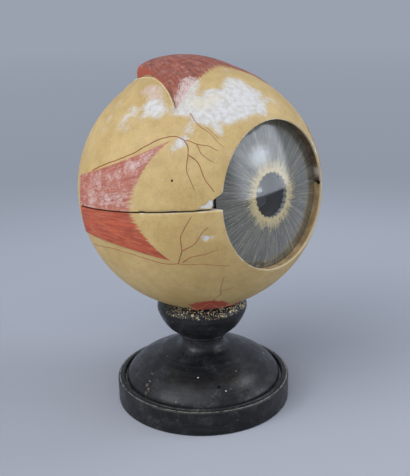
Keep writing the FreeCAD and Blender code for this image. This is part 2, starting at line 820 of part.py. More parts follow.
choroid = choroid_blank()
save_globe_piece("choroid_lower", choroid.common(below(0)).cut(around_bush()))
save_globe_piece("choroid_upper", choroid.common(above(cap_seam_gap)))
retina = retina_blank()
save_globe_piece("retina_lower", retina.common(below(0)).cut(around_bush()))
save_globe_piece("retina_upper", retina.common(above(cap_seam_gap)))
ciliary_lower, ciliary_upper = ciliary_halves()
save_globe_piece("ciliary_body_lower", ciliary_lower)
save_globe_piece("ciliary_body_upper", ciliary_upper)

save_globe_piece("cornea", cornea())
save_globe_piece("iris_disc", iris_disc())
save_globe_piece("lens", lens())
save_globe_piece("vitreous_body", vitreous_body())

save_globe_piece("catch_screw", catch_screw())
save_globe_piece("catch_pin", catch_pin())
save_globe_piece("catch_hook", catch_hook())

hinge = to_stand_frame(Part.Vertex(catch_axes()[0])).Point
print("hook pivot at", tuple(round(value, 3) for value in hinge))
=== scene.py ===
# %% [markdown]
# # An old eye anatomy model
# The real object is a teaching model: a globe of painted papier-mache, five times life size, that
# opens at its middle and turns on a stand of ebonised wood. The construction comes from the CAD
# frame. This lesson dresses it: paint that has worn through to the white ground, muscles in low
# relief, painted vessels, an iris brushed in grey and cream behind glass, and the black shellac of
# old turned wood. The frame is loaded first, because every piece below takes its place from it.

# %% Load the frame
import json
import math

import bmesh
import bpy
import numpy as np
from mathutils import Matrix, Vector, noise
from mathutils.bvhtree import BVHTree

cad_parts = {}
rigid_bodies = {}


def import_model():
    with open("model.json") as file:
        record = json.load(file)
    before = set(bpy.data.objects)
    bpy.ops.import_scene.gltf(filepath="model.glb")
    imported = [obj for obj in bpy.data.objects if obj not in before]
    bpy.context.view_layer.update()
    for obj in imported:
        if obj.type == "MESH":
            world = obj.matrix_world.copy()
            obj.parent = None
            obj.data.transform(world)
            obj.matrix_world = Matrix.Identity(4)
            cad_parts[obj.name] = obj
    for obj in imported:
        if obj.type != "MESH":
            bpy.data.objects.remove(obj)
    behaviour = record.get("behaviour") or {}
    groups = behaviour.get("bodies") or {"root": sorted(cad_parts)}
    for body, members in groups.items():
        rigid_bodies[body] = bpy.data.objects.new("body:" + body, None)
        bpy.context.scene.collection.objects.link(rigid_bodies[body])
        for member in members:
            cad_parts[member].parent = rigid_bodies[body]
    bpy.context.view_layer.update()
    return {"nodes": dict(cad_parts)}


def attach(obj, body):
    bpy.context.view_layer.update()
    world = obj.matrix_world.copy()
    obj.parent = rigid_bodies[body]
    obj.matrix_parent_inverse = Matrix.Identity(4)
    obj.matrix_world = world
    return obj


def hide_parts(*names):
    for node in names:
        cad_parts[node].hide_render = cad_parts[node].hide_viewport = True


for leftover in list(bpy.data.objects):
    bpy.data.objects.remove(leftover)

MM = 0.001


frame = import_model()

# %% [markdown]
# ## Two frames
# The stand's frame has its origin under the foot. The globe has a frame of its own, in
# millimetres, with its origin at the globe's centre: it looks along -Y, the seam lies at z = 0,
# and the whole is tipped back a little on its pin. Shapes are easiest to write in the globe's
# frame, so one function carries them over.

# %% The globe's frame
globe_radius = 61.0
globe_height = 115.0
gaze_pitch = math.radians(4.6)       # how far the eye looks up
cos_pitch, sin_pitch = math.cos(gaze_pitch), math.sin(gaze_pitch)


def to_stand(points):
    """Globe-frame millimetres to stand-frame metres, for an array of points."""
    x, y, z = np.asarray(points, float).reshape(-1, 3).T
    return MM * np.stack([x, y * cos_pitch + z * sin_pitch,
                          -y * sin_pitch + z * cos_pitch + globe_height], 1)


def to_globe(points):
    """Stand-frame metres to globe-frame millimetres."""
    x, y, z = (np.asarray(points, float).reshape(-1, 3) / MM).T
    z = z - globe_height
    return np.stack([x, y * cos_pitch - z * sin_pitch, y * sin_pitch + z * cos_pitch], 1)


print("globe centre, m:", to_stand([0, 0, 0])[0].round(4))

# %% [markdown]
# ## The camera
# It is set by where it looks from, not by eye: a bearing, a height above the horizon, a distance
# and a focal length in pixels of the 410 x 476 view. A ray through any pixel of that view can
# then be met with the globe, which is how painted vessels and worn patches get their places.

# %% Camera
view_width, view_height = 410, 476
focal_pixels = 749.03
sensor = 36.0
camera_azimuth = math.radians(-44.16)
camera_elevation = math.radians(17.23)
camera_roll = math.radians(-0.93)
camera_distance = 386.52
aim_side = 2.08            # how far right of the stand's axis it aims
aim_height = 88.04


def bearing(azimuth, elevation):
    """The direction that is turned round from -Y and raised from the horizon by these angles."""
    level = math.cos(elevation)
    return Vector((math.sin(azimuth) * level, -math.cos(azimuth) * level, math.sin(elevation)))


def linked(name, data):
    """An object made of a mesh, a lamp or a camera, linked into the scene."""
    thing = bpy.data.objects.new(name, data)
    bpy.context.scene.collection.objects.link(thing)
    return thing


level_right = Vector((math.cos(camera_azimuth), math.sin(camera_azimuth), 0))
backward = bearing(camera_azimuth, camera_elevation)
level_up = backward.cross(level_right)
right = level_right * math.cos(camera_roll) + level_up * math.sin(camera_roll)
upward = backward.cross(right)
camera_place = MM * (level_right * aim_side + Vector((0, 0, aim_height))
                     + backward * camera_distance)

camera_data = bpy.data.cameras.new("camera")
camera_data.sensor_width = sensor
camera_data.lens = sensor * focal_pixels / view_height
camera_data.clip_start = 0.01
camera = linked("camera", camera_data)
camera.matrix_world = Matrix.Translation(camera_place) @ Matrix(
    (right, upward, backward)).transposed().to_4x4()
bpy.context.scene.camera = camera
bpy.context.scene.view_settings.view_transform = "Standard"
print("camera at, m:", camera_place.to_tuple(3), "lens, mm:", round(camera_data.lens, 1))

# %% [markdown]
# A ray from the camera meets the globe as a line meets a ball, by one square root. Where it passes
# the globe by, the nearest point of the globe stands in, so that a drawn line may run up to the
# outline. A ray at the stand is traced against the CAD mesh itself.

# %% Rays through the view


def view_ray(px, py):
    """The direction, from the camera, of the ray through a view pixel."""
    return (right * (px - view_width / 2) - upward * (py - view_height / 2)
            - backward * focal_pixels).normalized()


def on_globe(px, py, radius=globe_radius):
    """The globe-frame point, in mm, where the ray through a view pixel meets the globe."""
    ray = view_ray(px, py)
    start = camera_place / MM - Vector((0, 0, globe_height))
    along = start.dot(ray)
    reach = along * along - start.length_squared + radius * radius
    if reach > 0:
        hit = start - ray * (along + math.sqrt(reach))
    else:
        hit = (start - ray * along).normalized() * radius
    return to_globe([MM * (hit + Vector((0, 0, globe_height)))])[0]


def on_node(px, py, node):
    """The stand-frame point, in metres, where the ray through a view pixel meets a CAD node."""
    mesh = frame["nodes"][node].data
    solid = BVHTree.FromPolygons([vertex.co for vertex in mesh.vertices],
                                 [tuple(face.vertices) for face in mesh.polygons])
    return solid.ray_cast(camera_place, view_ray(px, py))[0]


print("the middle of the view shows the globe at, mm:",
      on_globe(view_width / 2, view_height / 2).round(1))

# %% [markdown]
# ## Adding nodes
# Every material and every geometry tree is built by one small function that adds a node, sets it
# and links it. A colour is written as a designer writes it, as sRGB hex, and turned to the linear
# values that shaders use.

# %% One function for nodes
MATH, VECTOR, MIX = "ShaderNodeMath", "ShaderNodeVectorMath", "ShaderNodeMix"
NOISE, RANGE, ATTRIBUTE = "ShaderNodeTexNoise", "ShaderNodeMapRange", "ShaderNodeAttribute"


def srgb(code):
    """A hex colour in linear values."""
    parts = [int(code[start:start + 2], 16) / 255 for start in (1, 3, 5)]
    return tuple(part / 12.92 if part <= 0.04045 else ((part + 0.055) / 1.055) ** 2.4
                 for part in parts) + (1.0,)


def add(tree, kind, links=None, stops=None, **settings):
    """Adds a node. links gives each input a value, a hex colour, an output, or a node, which
    stands for its first live output; stops fill a colour ramp."""
    node = tree.nodes.new(kind)
    for name, value in settings.items():
        setattr(node, name, value)
    for socket, value in (links or {}).items():
        if isinstance(value, bpy.types.Node):
            value = next(output for output in value.outputs if output.enabled)
        if isinstance(value, bpy.types.NodeSocket):
            tree.links.new(value, node.inputs[socket])
        else:
            is_colour = str(value).startswith("#")
            node.inputs[socket].default_value = srgb(value) if is_colour else value
    if stops:
        ramp = node.color_ramp
        while len(ramp.elements) < len(stops):
            ramp.elements.new(1.0)
        for element, (place, colour) in zip(ramp.elements, stops):
            element.position = place
            element.color = srgb(colour)
    return node


def new_material(name):
    """A material with an empty tree."""
    material = bpy.data.materials.new(name)
    material.use_nodes = True
    material.node_tree.nodes.clear()
    return material, material.node_tree


def coats(tree, ground, *layers):
    """Coats of paint over a ground colour; each is how much it covers, and its colour."""
    colour = ground
    for cover, paint in layers:
        colour = add(tree, MIX, {0: cover, 6: colour, 7: paint}, data_type="RGBA")
    return colour


def patches(tree, place, size, low, high, cover=1.0, detail=6.0, roughness=0.6, warp=0.0):
    """Noise whose blotches are size across, sharpened between two levels, up to cover."""
    cloud = add(tree, NOISE, {"Vector": place, "Scale": 1 / size, "Detail": detail,
                              "Roughness": roughness, "Distortion": warp})
    return add(tree, RANGE, {"Value": cloud, "From Min": low, "From Max": high, "To Max": cover},
               interpolation_type="SMOOTHSTEP")


def surface(tree, **sockets):
    """Ends a material in the one shader that suits nearly every finish."""
    links = {name.replace("_", " "): value for name, value in sockets.items()}
    shader = add(tree, "ShaderNodeBsdfPrincipled", links)
    add(tree, "ShaderNodeOutputMaterial", {"Surface": shader})


print("pure white in linear values:", srgb("#ffffff"))

# %% [markdown]
# ## Floor and light
# The object stands on a plain pale sheet of paper. Near it the sheet is a real surface, so that it
# takes the shadow. Further away it fades into a flat grey, but only for the rays that show it to
# the eye, straight or by a mirror or through glass, so that there is no horizon and the light that
# the sheet throws back on the object stays as it is. The sheet's colour is painted paler towards
# the front, and the flat grey is painted paler far off: both are painted light.

# %% Floor
backdrop_near, backdrop_far = "#9097a5", "#9aa2b0"
floor_reach = 40.0
fade_start, fade_end = 0.2, 0.6      # metres from the stand over which the sheet turns flat
# painted light: the flat grey is painted paler with distance, and the sheet paler towards the front
haze_start, haze_end = 0.5, 3.5      # metres over which the flat grey turns paler
painted_light_back, painted_light_front = -0.45, 0.12  # metres behind and before the stand, as the camera sees it
seen_rays = ("Is Camera Ray", "Is Glossy Ray", "Is Transmission Ray")


def seen_by_eye(tree):
    """1 for the rays that show the background to the eye, whether straight or by a mirror."""
    rays = add(tree, "ShaderNodeLightPath")
    seen = rays.outputs[seen_rays[0]]
    for name in seen_rays[1:]:
        seen = add(tree, MATH, {0: seen, 1: rays.outputs[name]}, operation="MAXIMUM")
    return seen


floor_mesh = bpy.data.meshes.new("floor")
floor_mesh.from_pydata([(x * floor_reach, y * floor_reach, 0)
                        for x, y in ((-1, -1), (1, -1), (1, 1), (-1, 1))], [], [(0, 1, 2, 3)])
floor = linked("floor", floor_mesh)

paper, tree = new_material("seamless_paper")
place = add(tree, "ShaderNodeTexCoord").outputs["Object"]
to_front = add(tree, VECTOR, {0: place, 1: bearing(camera_azimuth, 0)},
               operation="DOT_PRODUCT").outputs["Value"]
painted_light_sweep = add(tree, RANGE, {"Value": to_front, "From Min": painted_light_back, "From Max": painted_light_front})
# painted light: the sheet's colour grows paler from behind the stand towards the front
tone = add(tree, "ShaderNodeValToRGB", {"Fac": painted_light_sweep},
           stops=[(0.0, "#9ca3b0"), (0.62, "#9da3b0"), (0.8, "#a1a6b2"), (1.0, "#abafb9")])
distance = add(tree, VECTOR, {0: place}, operation="LENGTH").outputs["Value"]
fade = add(tree, RANGE, {"Value": distance, "From Min": fade_start, "From Max": fade_end},
           interpolation_type="SMOOTHSTEP")
far_away = add(tree, MATH, {0: fade, 1: seen_by_eye(tree)}, operation="MULTIPLY")
lit = add(tree, "ShaderNodeBsdfDiffuse", {"Color": tone, "Roughness": 1.0})
# painted light: the flat grey far off grows paler with distance
further = add(tree, RANGE, {"Value": distance, "From Min": haze_start, "From Max": haze_end})
grey = coats(tree, backdrop_near, (further, backdrop_far))
haze = add(tree, "ShaderNodeEmission", {"Color": grey})
both = add(tree, "ShaderNodeMixShader", {0: far_away, 1: lit, 2: haze})
add(tree, "ShaderNodeOutputMaterial", {"Surface": both})
floor_mesh.materials.append(paper)
print("floor:", 2 * floor_reach, "m across, in", paper.name)

# %% [markdown]
# Soft light comes from all round, as in a studio with a large tent, and the lamps only add to it.
# The sun lamp is wide, so its shadow is soft, and it has no fall-off, so the floor stays even. Two
# pale walls fill the shadows, and are hidden from mirrors. Polish and glass need something to
# reflect: the large soft box on the right is what the cornea shows, so it is made like the real
# one, cloth over a bulb, which fades towards its edges and has one bright spot.

# %% World and lamps
tent_strength = 0.68
lamp_table = [     # name, kind, degrees round from the camera, degrees up, metres away, power, size
    ("soft_sun", "SUN", -38, 50, 2.0, 0.92, 54),
    ("soft_box_above", "AREA", 101, 48, 0.9, 1.7, (0.35, 0.3)),
    ("soft_box_left", "AREA", -55, 30, 0.9, 1.6, (0.35, 0.5)),
    ("pale_wall_left", "AREA", -70, 0, 0.9, 2.4, (0.5, 0.2)),
    ("pale_wall_right", "AREA", 28, 0, 0.9, 1.0, (0.5, 0.2)),
    ("soft_box_right", "AREA", 80, 9, 0.9, 2.6, (0.80, 0.48)),
]

world = bpy.data.worlds.new("tent")
bpy.context.scene.world = world
world.use_nodes = True
tree = world.node_tree
tree.nodes.clear()
tent = add(tree, "ShaderNodeBackground", {"Color": "#e6e9ee", "Strength": tent_strength})
seen = add(tree, "ShaderNodeBackground", {"Color": backdrop_far, "Strength": 1.0})
mixed = add(tree, "ShaderNodeMixShader", {0: seen_by_eye(tree), 1: tent, 2: seen})
add(tree, "ShaderNodeOutputWorld", {"Surface": mixed})


def lamp(name, kind, azimuth, elevation, distance, power, size):
    """A lamp that looks at the globe; its size is an angle for a sun, or a width and a height."""
    data = bpy.data.lights.new(name, kind)
    data.energy = power
    if kind == "SUN":
        data.angle = math.radians(size)
    else:
        data.shape = "RECTANGLE"
        data.size, data.size_y = size
    outward = bearing(camera_azimuth + math.radians(azimuth), math.radians(elevation))
    light = linked(name, data)
    light.rotation_euler = (-outward).to_track_quat("-Z", "Y").to_euler()
    light.location = outward * distance + Vector((0, 0, globe_height * MM))
    return light


def soften(light, edge_left, edge_right, edge_low, hot_at, hot_size, hot_strength):
    """Makes a soft box as cloth over a bulb: it fades to three of its sides and glows at one spot.
    All are shares of the box, whose corners are 0 and 1."""
    light.data.use_nodes = True
    tree = light.data.node_tree
    tree.nodes.clear()
    spot = add(tree, "ShaderNodeNewGeometry").outputs["Parametric"]
    split = add(tree, "ShaderNodeSeparateXYZ", {0: spot})
    even = 1.0
    for axis, dark, bright in ((0, 0.0, edge_left), (0, 1.0, 1 - edge_right), (1, 0.0, edge_low)):
        side = add(tree, RANGE, {"Value": split.outputs[axis], "From Min": dark,
                                 "From Max": bright}, interpolation_type="SMOOTHSTEP")
        even = add(tree, MATH, {0: even, 1: side}, operation="MULTIPLY")
    away = add(tree, VECTOR, {0: spot, 1: hot_at}, operation="DISTANCE").outputs["Value"]
    glow = add(tree, RANGE, {"Value": away, "From Min": hot_size, "From Max": 0.0,
                             "To Max": hot_strength}, interpolation_type="SMOOTHERSTEP")
    total = add(tree, MATH, {0: even, 1: glow}, operation="ADD")
    cloth = add(tree, "ShaderNodeEmission", {"Color": "#dfe6f2", "Strength": total})
    add(tree, "ShaderNodeOutputLight", {"Surface": cloth})


lamps = {row[0]: lamp(*row) for row in lamp_table}
for name in ("pale_wall_left", "pale_wall_right"):
    lamps[name].visible_glossy = False
soften(lamps["soft_box_right"], edge_left=0.25, edge_right=0.16, edge_low=0.05,
       hot_at=(0.51, 0.63, 0), hot_size=0.26, hot_strength=1.9)
print("lamps:", list(lamps))

# %% [markdown]
# ## The painted shell
# The shell is paper pulp in layers, faced with a white ground of chalk and glue, and painted with
# an ochre distemper. Wear goes down through those layers in that order. The material does the
# same: it measures how deep each point lies under the globe's outer surface, from the position
# alone, and picks paint, ground or brown paper. Every chip, edge and hole then shows its layers
# without being painted by hand. What depth can't tell is said by attributes on the mesh: worn is
# where the paint is rubbed thin, plaster is where bare plaster shows inside a break, and red is
# where brick red was painted on. Noise breaks their borders up like the print of a sponge.

# %% Where a point lies, and how bare it is


def globe_place(tree):
    """Object coordinates turned into the globe's frame, in millimetres."""
    place = add(tree, "ShaderNodeTexCoord").outputs["Object"]
    centred = add(tree, VECTOR, {0: place, 1: (0, 0, globe_height * MM)}, operation="SUBTRACT")
    turned = add(tree, "ShaderNodeVectorRotate",
                 {"Vector": centred, "Axis": (1, 0, 0), "Angle": gaze_pitch},
                 rotation_type="AXIS_ANGLE")
    return add(tree, VECTOR, {0: turned, "Scale": 1 / MM}, operation="SCALE").outputs[0]


def scuffed(tree, place, worn, size, low=0.34, high=0.86):
    """How bare the ground lies: the worn attribute, broken up like the print of a sponge."""
    coarse_share, fine_share = 1.0, 0.9
    coarse = add(tree, NOISE, {"Vector": place, "Scale": 1 / size, "Detail": 8.0, "Roughness": 0.72,
                               "Distortion": 0.3})
    fine = add(tree, NOISE, {"Vector": place, "Scale": 6 / size, "Detail": 4.0, "Roughness": 0.75})
    value = worn
    for cloud, share in ((coarse, coarse_share), (fine, fine_share)):
        value = add(tree, MATH, {0: cloud, 1: share, 2: value}, operation="MULTIPLY_ADD")
    middle = 0.5 * (coarse_share + fine_share)      # of the noise, which swings round a half
    return add(tree, RANGE, {"Value": value, "From Min": low + middle, "From Max": high + middle},
               interpolation_type="SMOOTHSTEP")


print("the globe's centre is at, mm:", globe_height)

# %% [markdown]
# The ochre is never one colour: it has faded in clouds, hands have soiled it, and the brush left
# its grain. Each of those is one coat of noise at its own size. The chalk under it is patchy too.
# The paint is matt and a little rough to the touch, more so where it is rubbed through.

# %% Ochre distemper on a white ground
paint_depth = 0.30        # mm of paint film, thicker than life so that edges show it
ground_depth = 1.15       # mm down to the paper
chalk_white, chalk_grey = "#cfd0d2", "#bdb9b4"
scuff_size = 3.2          # mm across one dab of the sponge-like wear


def ochre_paint(tree, place):
    """The ochre by itself, shared by the shell and by all that is painted beside it."""
    return coats(tree, "#b6995f",
                 (patches(tree, place, 26.0, 0.35, 0.66), "#c4aa73"),          # faded by light
                 (patches(tree, place, 5.0, 0.38, 0.66, 0.40), "#a08451"),     # soiled by hands
                 (patches(tree, place, 0.8, 0.30, 0.70, 0.22), "#d2be92"),     # grain of the brush
                 (patches(tree, place, 0.35, 0.55, 0.75, 0.35), "#8f7648"))    # specks of dirt


def soil_coat(tree, place):
    """Brown soiling in small blots, as a coat."""
    return patches(tree, place, 1.3, 0.62, 0.74, 0.45), "#7d6840"


def distemper_surface(tree, place, colour, bare, bare_relief, strength):
    """Ends a material as matt paint with brush marks, rougher and lower where it lies bare."""
    brushed = add(tree, NOISE, {"Vector": place, "Scale": 1.1, "Detail": 6.0})
    rough = add(tree, RANGE, {"Value": bare, "To Min": 0.52, "To Max": 0.85})
    relief = add(tree, MATH, {0: bare, 1: bare_relief, 2: brushed}, operation="MULTIPLY_ADD")
    bump = add(tree, "ShaderNodeBump",
               {"Height": relief, "Strength": strength, "Distance": 0.12 * MM})
    surface(tree, Base_Color=colour, Roughness=rough, Normal=bump, IOR=1.5)


def distemper_material(name, wall_dark, wall_light):
    """Paint, ground and paper by depth, with the colours of the bare paper wall."""
    material, tree = new_material(name)
    place = globe_place(tree)
    worn, plaster, red = [add(tree, ATTRIBUTE, attribute_name=key).outputs["Fac"]
                          for key in ("worn", "plaster", "red")]
    length = add(tree, VECTOR, {0: place}, operation="LENGTH").outputs["Value"]
    depth = add(tree, MATH, {0: globe_radius, 1: length}, operation="SUBTRACT")

    bare = scuffed(tree, place, worn, scuff_size)
    chalk = coats(tree, chalk_white, (patches(tree, place, 2.2, 0.35, 0.70), chalk_grey),
                  (patches(tree, place, 0.5, 0.62, 0.72, 0.5), "#a89c84"))
    brick = coats(tree, "#a8492f", (patches(tree, place, 1.5, 0.35, 0.65), "#b8604a"))
    frayed = add(tree, MATH, {0: patches(tree, place, 1.2, 0.3, 0.7), 1: 0.7, 2: red},
                 operation="MULTIPLY_ADD")
    on_red = add(tree, RANGE, {"Value": frayed, "From Min": 0.7, "From Max": 0.85})
    flecks = patches(tree, place, 0.8, 0.68, 0.72, 0.7)      # tiny chips down to the chalk
    paint = coats(tree, ochre_paint(tree, place), soil_coat(tree, place),
                  (patches(tree, place, 9.0, 0.56, 0.72, 0.35, 8.0, 0.7), "#c8b291"),
                  (bare, chalk), (flecks, "#d9d2bf"), (on_red, brick))

    through_paint = add(tree, RANGE, {"Value": depth, "From Min": paint_depth,
                                      "From Max": paint_depth + 0.08})
    tear = add(tree, NOISE, {"Vector": place, "Scale": 0.8, "Detail": 6.0, "Roughness": 0.7})
    edge_depth = add(tree, MATH, {0: tear, 1: 1.2, 2: depth}, operation="MULTIPLY_ADD")
    through_ground = add(tree, RANGE, {"Value": edge_depth, "From Min": ground_depth + 0.5,
                                       "From Max": ground_depth + 0.9})
    wall = coats(tree, wall_dark, (patches(tree, place, 5.0, 0.35, 0.65), wall_light),
                 (plaster, "#d6d1c4"))
    colour = coats(tree, paint, (through_paint, "#d2c5a4"), (through_ground, wall))
    distemper_surface(tree, place, colour, bare, -1.0, 0.45)
    return material


ochre_lower = distemper_material("ochre_distemper_lower", "#8f7550", "#b89c6e")
# painted shade: the upper half's bare wall is painted a darker brown than the lower's, for the
# shade under the upper lip of the mouth
ochre_upper = distemper_material("ochre_distemper_upper", "#4a3b30", "#7d6248")
print("made", ochre_lower.name, "and", ochre_upper.name)

# %% [markdown]
# ## The two halves of the shell
# A dense ball is carved with cutters: the hollow inside, the eye opening, the groove that holds
# the iris plate, the seam, and the holes for the bush, the nerve, the dowels and the pins. The
# manifold boolean does this in a second and leaves a closed solid. First come the solids: one
# turned from a profile, as on a lathe, and one plain box.

# %% Solids


def mesh_object(name, points, faces):
    """A linked object from stand-frame points in metres."""
    mesh = bpy.data.meshes.new(name)
    mesh.from_pydata([tuple(p) for p in points], [], [tuple(f) for f in faces])
    mesh.update()
    return linked(name, mesh)


def turned_solid(name, profile, axis_start, axis_end, segments=96):
    """A solid turned about an axis, from (radius, distance along the axis) in mm."""
    start, end = Vector(axis_start), Vector(axis_end)
    along = (end - start).normalized()
    side = along.orthogonal().normalized()
    other = along.cross(side)
    points, rings = [], []
    for radius, reach in profile:
        centre = start + along * reach
        if radius < 1e-6:
            rings.append([len(points)])
            points.append(centre)
            continue
        rings.append(list(range(len(points), len(points) + segments)))
        for step in range(segments):
            turn = 2 * math.pi * step / segments
            points.append(centre + (side * math.cos(turn) + other * math.sin(turn)) * radius)
    faces = []
    for low, high in zip(rings, rings[1:] + rings[:1]):
        if len(low) == 1 and len(high) == 1:
            continue
        for step in range(segments):
            after = (step + 1) % segments
            if len(low) == 1:
                faces.append((low[0], high[after], high[step]))
            elif len(high) == 1:
                faces.append((low[step], low[after], high[0]))
            else:
                faces.append((low[step], low[after], high[after], high[step]))
    return mesh_object(name, to_stand(points), faces)


def rod(name, radius, start, end, segments=48):
    """A round bar between two points of the globe's frame."""
    length = (Vector(end) - Vector(start)).length
    profile = [(0, 0), (radius, 0), (radius, length), (0, length)]
    return turned_solid(name, profile, start, end, segments)


def block(name, low, high):
    """A box in the globe's frame."""
    corners = [(x, y, z) for x in (low[0], high[0]) for y in (low[1], high[1])
               for z in (low[2], high[2])]
    faces = [(0, 1, 3, 2), (4, 6, 7, 5), (0, 4, 5, 1), (2, 3, 7, 6), (0, 2, 6, 4), (1, 5, 7, 3)]
    return mesh_object(name, to_stand(corners), faces)


print("solids: turned, rod and block")

# %% [markdown]
# The ball is made of even triangles, so that it can be dented anywhere. Its points are read and
# written as one array, which is far quicker than one by one. A cutter must have its faces outwards
# before it cuts.

# %% A ball, and how it is cut


def get_points(thing):
    """A mesh's points as an array, in metres."""
    flat = np.empty(3 * len(thing.data.vertices))
    thing.data.vertices.foreach_get("co", flat)
    return flat.reshape(-1, 3)


def set_points(thing, points):
    """Moves a mesh's points."""
    thing.data.vertices.foreach_set("co", np.asarray(points).ravel())
    thing.data.update()


def ball(name, radius, subdivisions):
    """A ball of even small triangles round the globe's centre."""
    grid = bmesh.new()
    bmesh.ops.create_icosphere(grid, subdivisions=subdivisions, radius=radius)
    mesh = bpy.data.meshes.new(name)
    grid.to_mesh(mesh)
    grid.free()
    thing = linked(name, mesh)
    set_points(thing, to_stand(get_points(thing)))
    return thing


def make_outward(thing, merge=0.0):
    """Turns all faces outwards, after merging points closer than merge."""
    grid = bmesh.new()
    grid.from_mesh(thing.data)
    if merge:
        bmesh.ops.remove_doubles(grid, verts=grid.verts, dist=merge)
    bmesh.ops.recalc_face_normals(grid, faces=grid.faces)
    grid.to_mesh(thing.data)
    grid.free()


def settle(thing):
    """Turns what an object's modifiers make into its plain mesh."""
    evaluated = thing.evaluated_get(bpy.context.evaluated_depsgraph_get())
    settled = bpy.data.meshes.new_from_object(evaluated)
    thing.modifiers.clear()
    old, thing.data = thing.data, settled
    bpy.data.meshes.remove(old)
    return thing


def carve(thing, cutters):
    """Cuts each cutter from the solid, then deletes the cutters."""
    for cutter in cutters:
        make_outward(cutter)
        cut = thing.modifiers.new("cut", "BOOLEAN")
        cut.operation, cut.solver, cut.object = "DIFFERENCE", "MANIFOLD", cutter
        settle(thing)
        bpy.data.objects.remove(cutter)
    return thing


print("the ball is cut by solids whose faces point outwards")

# %% [markdown]
# A finished piece gets its name, its material and smooth faces with sharp creases. It then rides
# on one body of the frame, and the CAD nodes it takes the place of, if any, are hidden.

# %% Dressing a piece


def set_attribute(thing, name, values):
    """Writes one number for each point of a mesh, for its material to read."""
    layer = thing.data.attributes.new(name, "FLOAT", "POINT")
    layer.data.foreach_set("value", np.asarray(values, float))


def dress(thing, name, material, body, replaced=(), crease=35.0):
    """Names a finished piece, shades it, gives it its material and body, and hides what it
    replaces.
    """
    thing.name = name
    thing.data.name = name
    thing.data.materials.clear()
    thing.data.materials.append(material)
    thing.data.polygons.foreach_set("use_smooth", [True] * len(thing.data.polygons))
    thing.data.set_sharp_from_angle(angle=math.radians(crease))
    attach(thing, body)
    if replaced:
        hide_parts(*replaced)
    print(f"{name}: {len(thing.data.polygons)} faces on {body}")
    return thing


print("the frame holds", len(frame["nodes"]), "nodes")

# %% [markdown]
# Sizes that two pieces share are written once: the iris plate takes its place from the groove, and
# the cornea takes its from the same groove, just in front of the plate.

# %% Sizes of the shell
opening_radius = 34.5
seam_gap = 0.8            # the warped halves no longer close
sclera_wall = 6.0
groove_radius = 36.9
groove_depth, groove_width = 5.9, 2.2
opening_rim = math.sqrt(globe_radius**2 - opening_radius**2)
groove_front = groove_depth - opening_rim
opening_flare = 0.45      # how far the rim's edge is rubbed round
nerve_angle, nerve_radius, nerve_fit = math.radians(15), 8.0, 0.3
nerve_reach = 90
nerve_end = (nerve_reach * math.sin(nerve_angle), nerve_reach * math.cos(nerve_angle), 0)
bush_radius = 6.0
bush_top, bush_end = 51.2, 72        # mm below the globe's centre
stand_down = (0.0, sin_pitch, -cos_pitch)
dowel_bearings = (-155.0, -95.0, 95.0)
dowel_radius, dowel_play, dowel_foot, dowel_top = 1.6, 0.3, -8.0, 5.0
chip_outline = [           # view pixels
    (229.4, 185.5), (227.6, 188.8), (225.6, 190.4), (222.4, 192.4), (219.8, 195.2),
    (216.8, 197.0), (214.4, 199.2), (213.2, 200.1), (212.6, 202.4), (212.9, 204.6),
    (212.2, 207.5), (212.0, 216), (240, 216), (240, 185.5)]
chip_above, chip_below = 4, 9        # mm that its cutter reaches over and under the globe's face
lost_pin, lost_pin_radius, lost_pin_depth = (171.8, 180.6), 0.55, 4.0
nose_hole, nose_hole_radius, nose_hole_depth = (318.5, 182.5), 0.8, 18.0
ball_detail, hollow_detail = (8), 6
far = 90.0                           # well outside the globe
print("the iris plate's groove lies at y, mm:", round(groove_front, 2))

# %% [markdown]
# The mouth flares a little at its rim, where the paper is rubbed round. The corner where the seam
# meets the mouth has broken off: its outline is given in view pixels and cut straight along the
# view, so the break has that outline whatever its depth.

# %% Cutters of the shell


def down_the_stand(reach):
    """The point of the stand's axis that lies this far below the globe's centre."""
    return tuple(value * reach for value in stand_down)


def opening_cutter():
    """The mouth of the eye, flared at its rim."""
    wide = opening_radius + opening_flare
    profile = [(0, 0), (opening_radius, 0), (opening_radius, opening_rim - 0.5),
               (wide, opening_rim + 0.1), (wide + 2, opening_rim + 3), (wide + 2, 70), (0, 70)]
    return turned_solid("mouth", profile, (0, 0, 0), (0, -1, 0), 256)


def groove_cutter():
    """The groove behind the mouth that holds the rim of the iris plate."""
    inner, outer = -groove_front - groove_width, -groove_front
    profile = [(0, inner), (groove_radius, inner), (groove_radius, outer), (0, outer)]
    return turned_solid("groove", profile, (0, 0, 0), (0, -1, 0), 192)


def dowel_cutters(radius, low, high):
    """Rods in the middle of the wall, at the bearings of the dowels."""
    middle = globe_radius - sclera_wall / 2
    spots = [(middle * math.sin(math.radians(b)), -middle * math.cos(math.radians(b)))
             for b in dowel_bearings]
    return [rod("dowel", radius, (x, y, low), (x, y, high), 32) for x, y in spots]


def ragged_corner():
    """The prism that broke away where the seam meets the mouth, cut straight along the view."""
    points = [on_globe(px, py, radius)
              for radius in (globe_radius + chip_above, globe_radius - chip_below)
              for px, py in chip_outline]
    count = len(chip_outline)
    faces = [tuple(range(count)), tuple(range(2 * count - 1, count - 1, -1))]
    faces += [(i, (i + 1) % count, count + (i + 1) % count, count + i) for i in range(count)]
    return mesh_object("chip", to_stand(points), faces)


def lost_pin_hole():
    """The hole that a lost pin left, drilled towards the globe's centre."""
    spot = on_globe(*lost_pin)
    return rod("pin_hole", lost_pin_radius, tuple(spot * (1 - lost_pin_depth / globe_radius)),
               tuple(spot * 1.05), 16)


def nose_side_hole():
    """The hole in the rim of the mouth, drilled straight along the view."""
    start = Vector(to_stand([on_globe(*nose_hole)])[0])
    ends = to_globe([start, start + view_ray(*nose_hole) * nose_hole_depth * MM])
    return rod("view_hole", nose_hole_radius, tuple(ends[0]), tuple(ends[1]), 16)


print("cutters: mouth, groove, dowels, broken corner and two small holes")

# %% [markdown]
# Wear has a place: hands lift the upper half by its crown, and its paint has gone there down to
# the chalk. The large bare place is an outline on the globe, the small ones are round spots, and
# both are given by the view pixels where they are seen. Where spots overlap they add up softly.

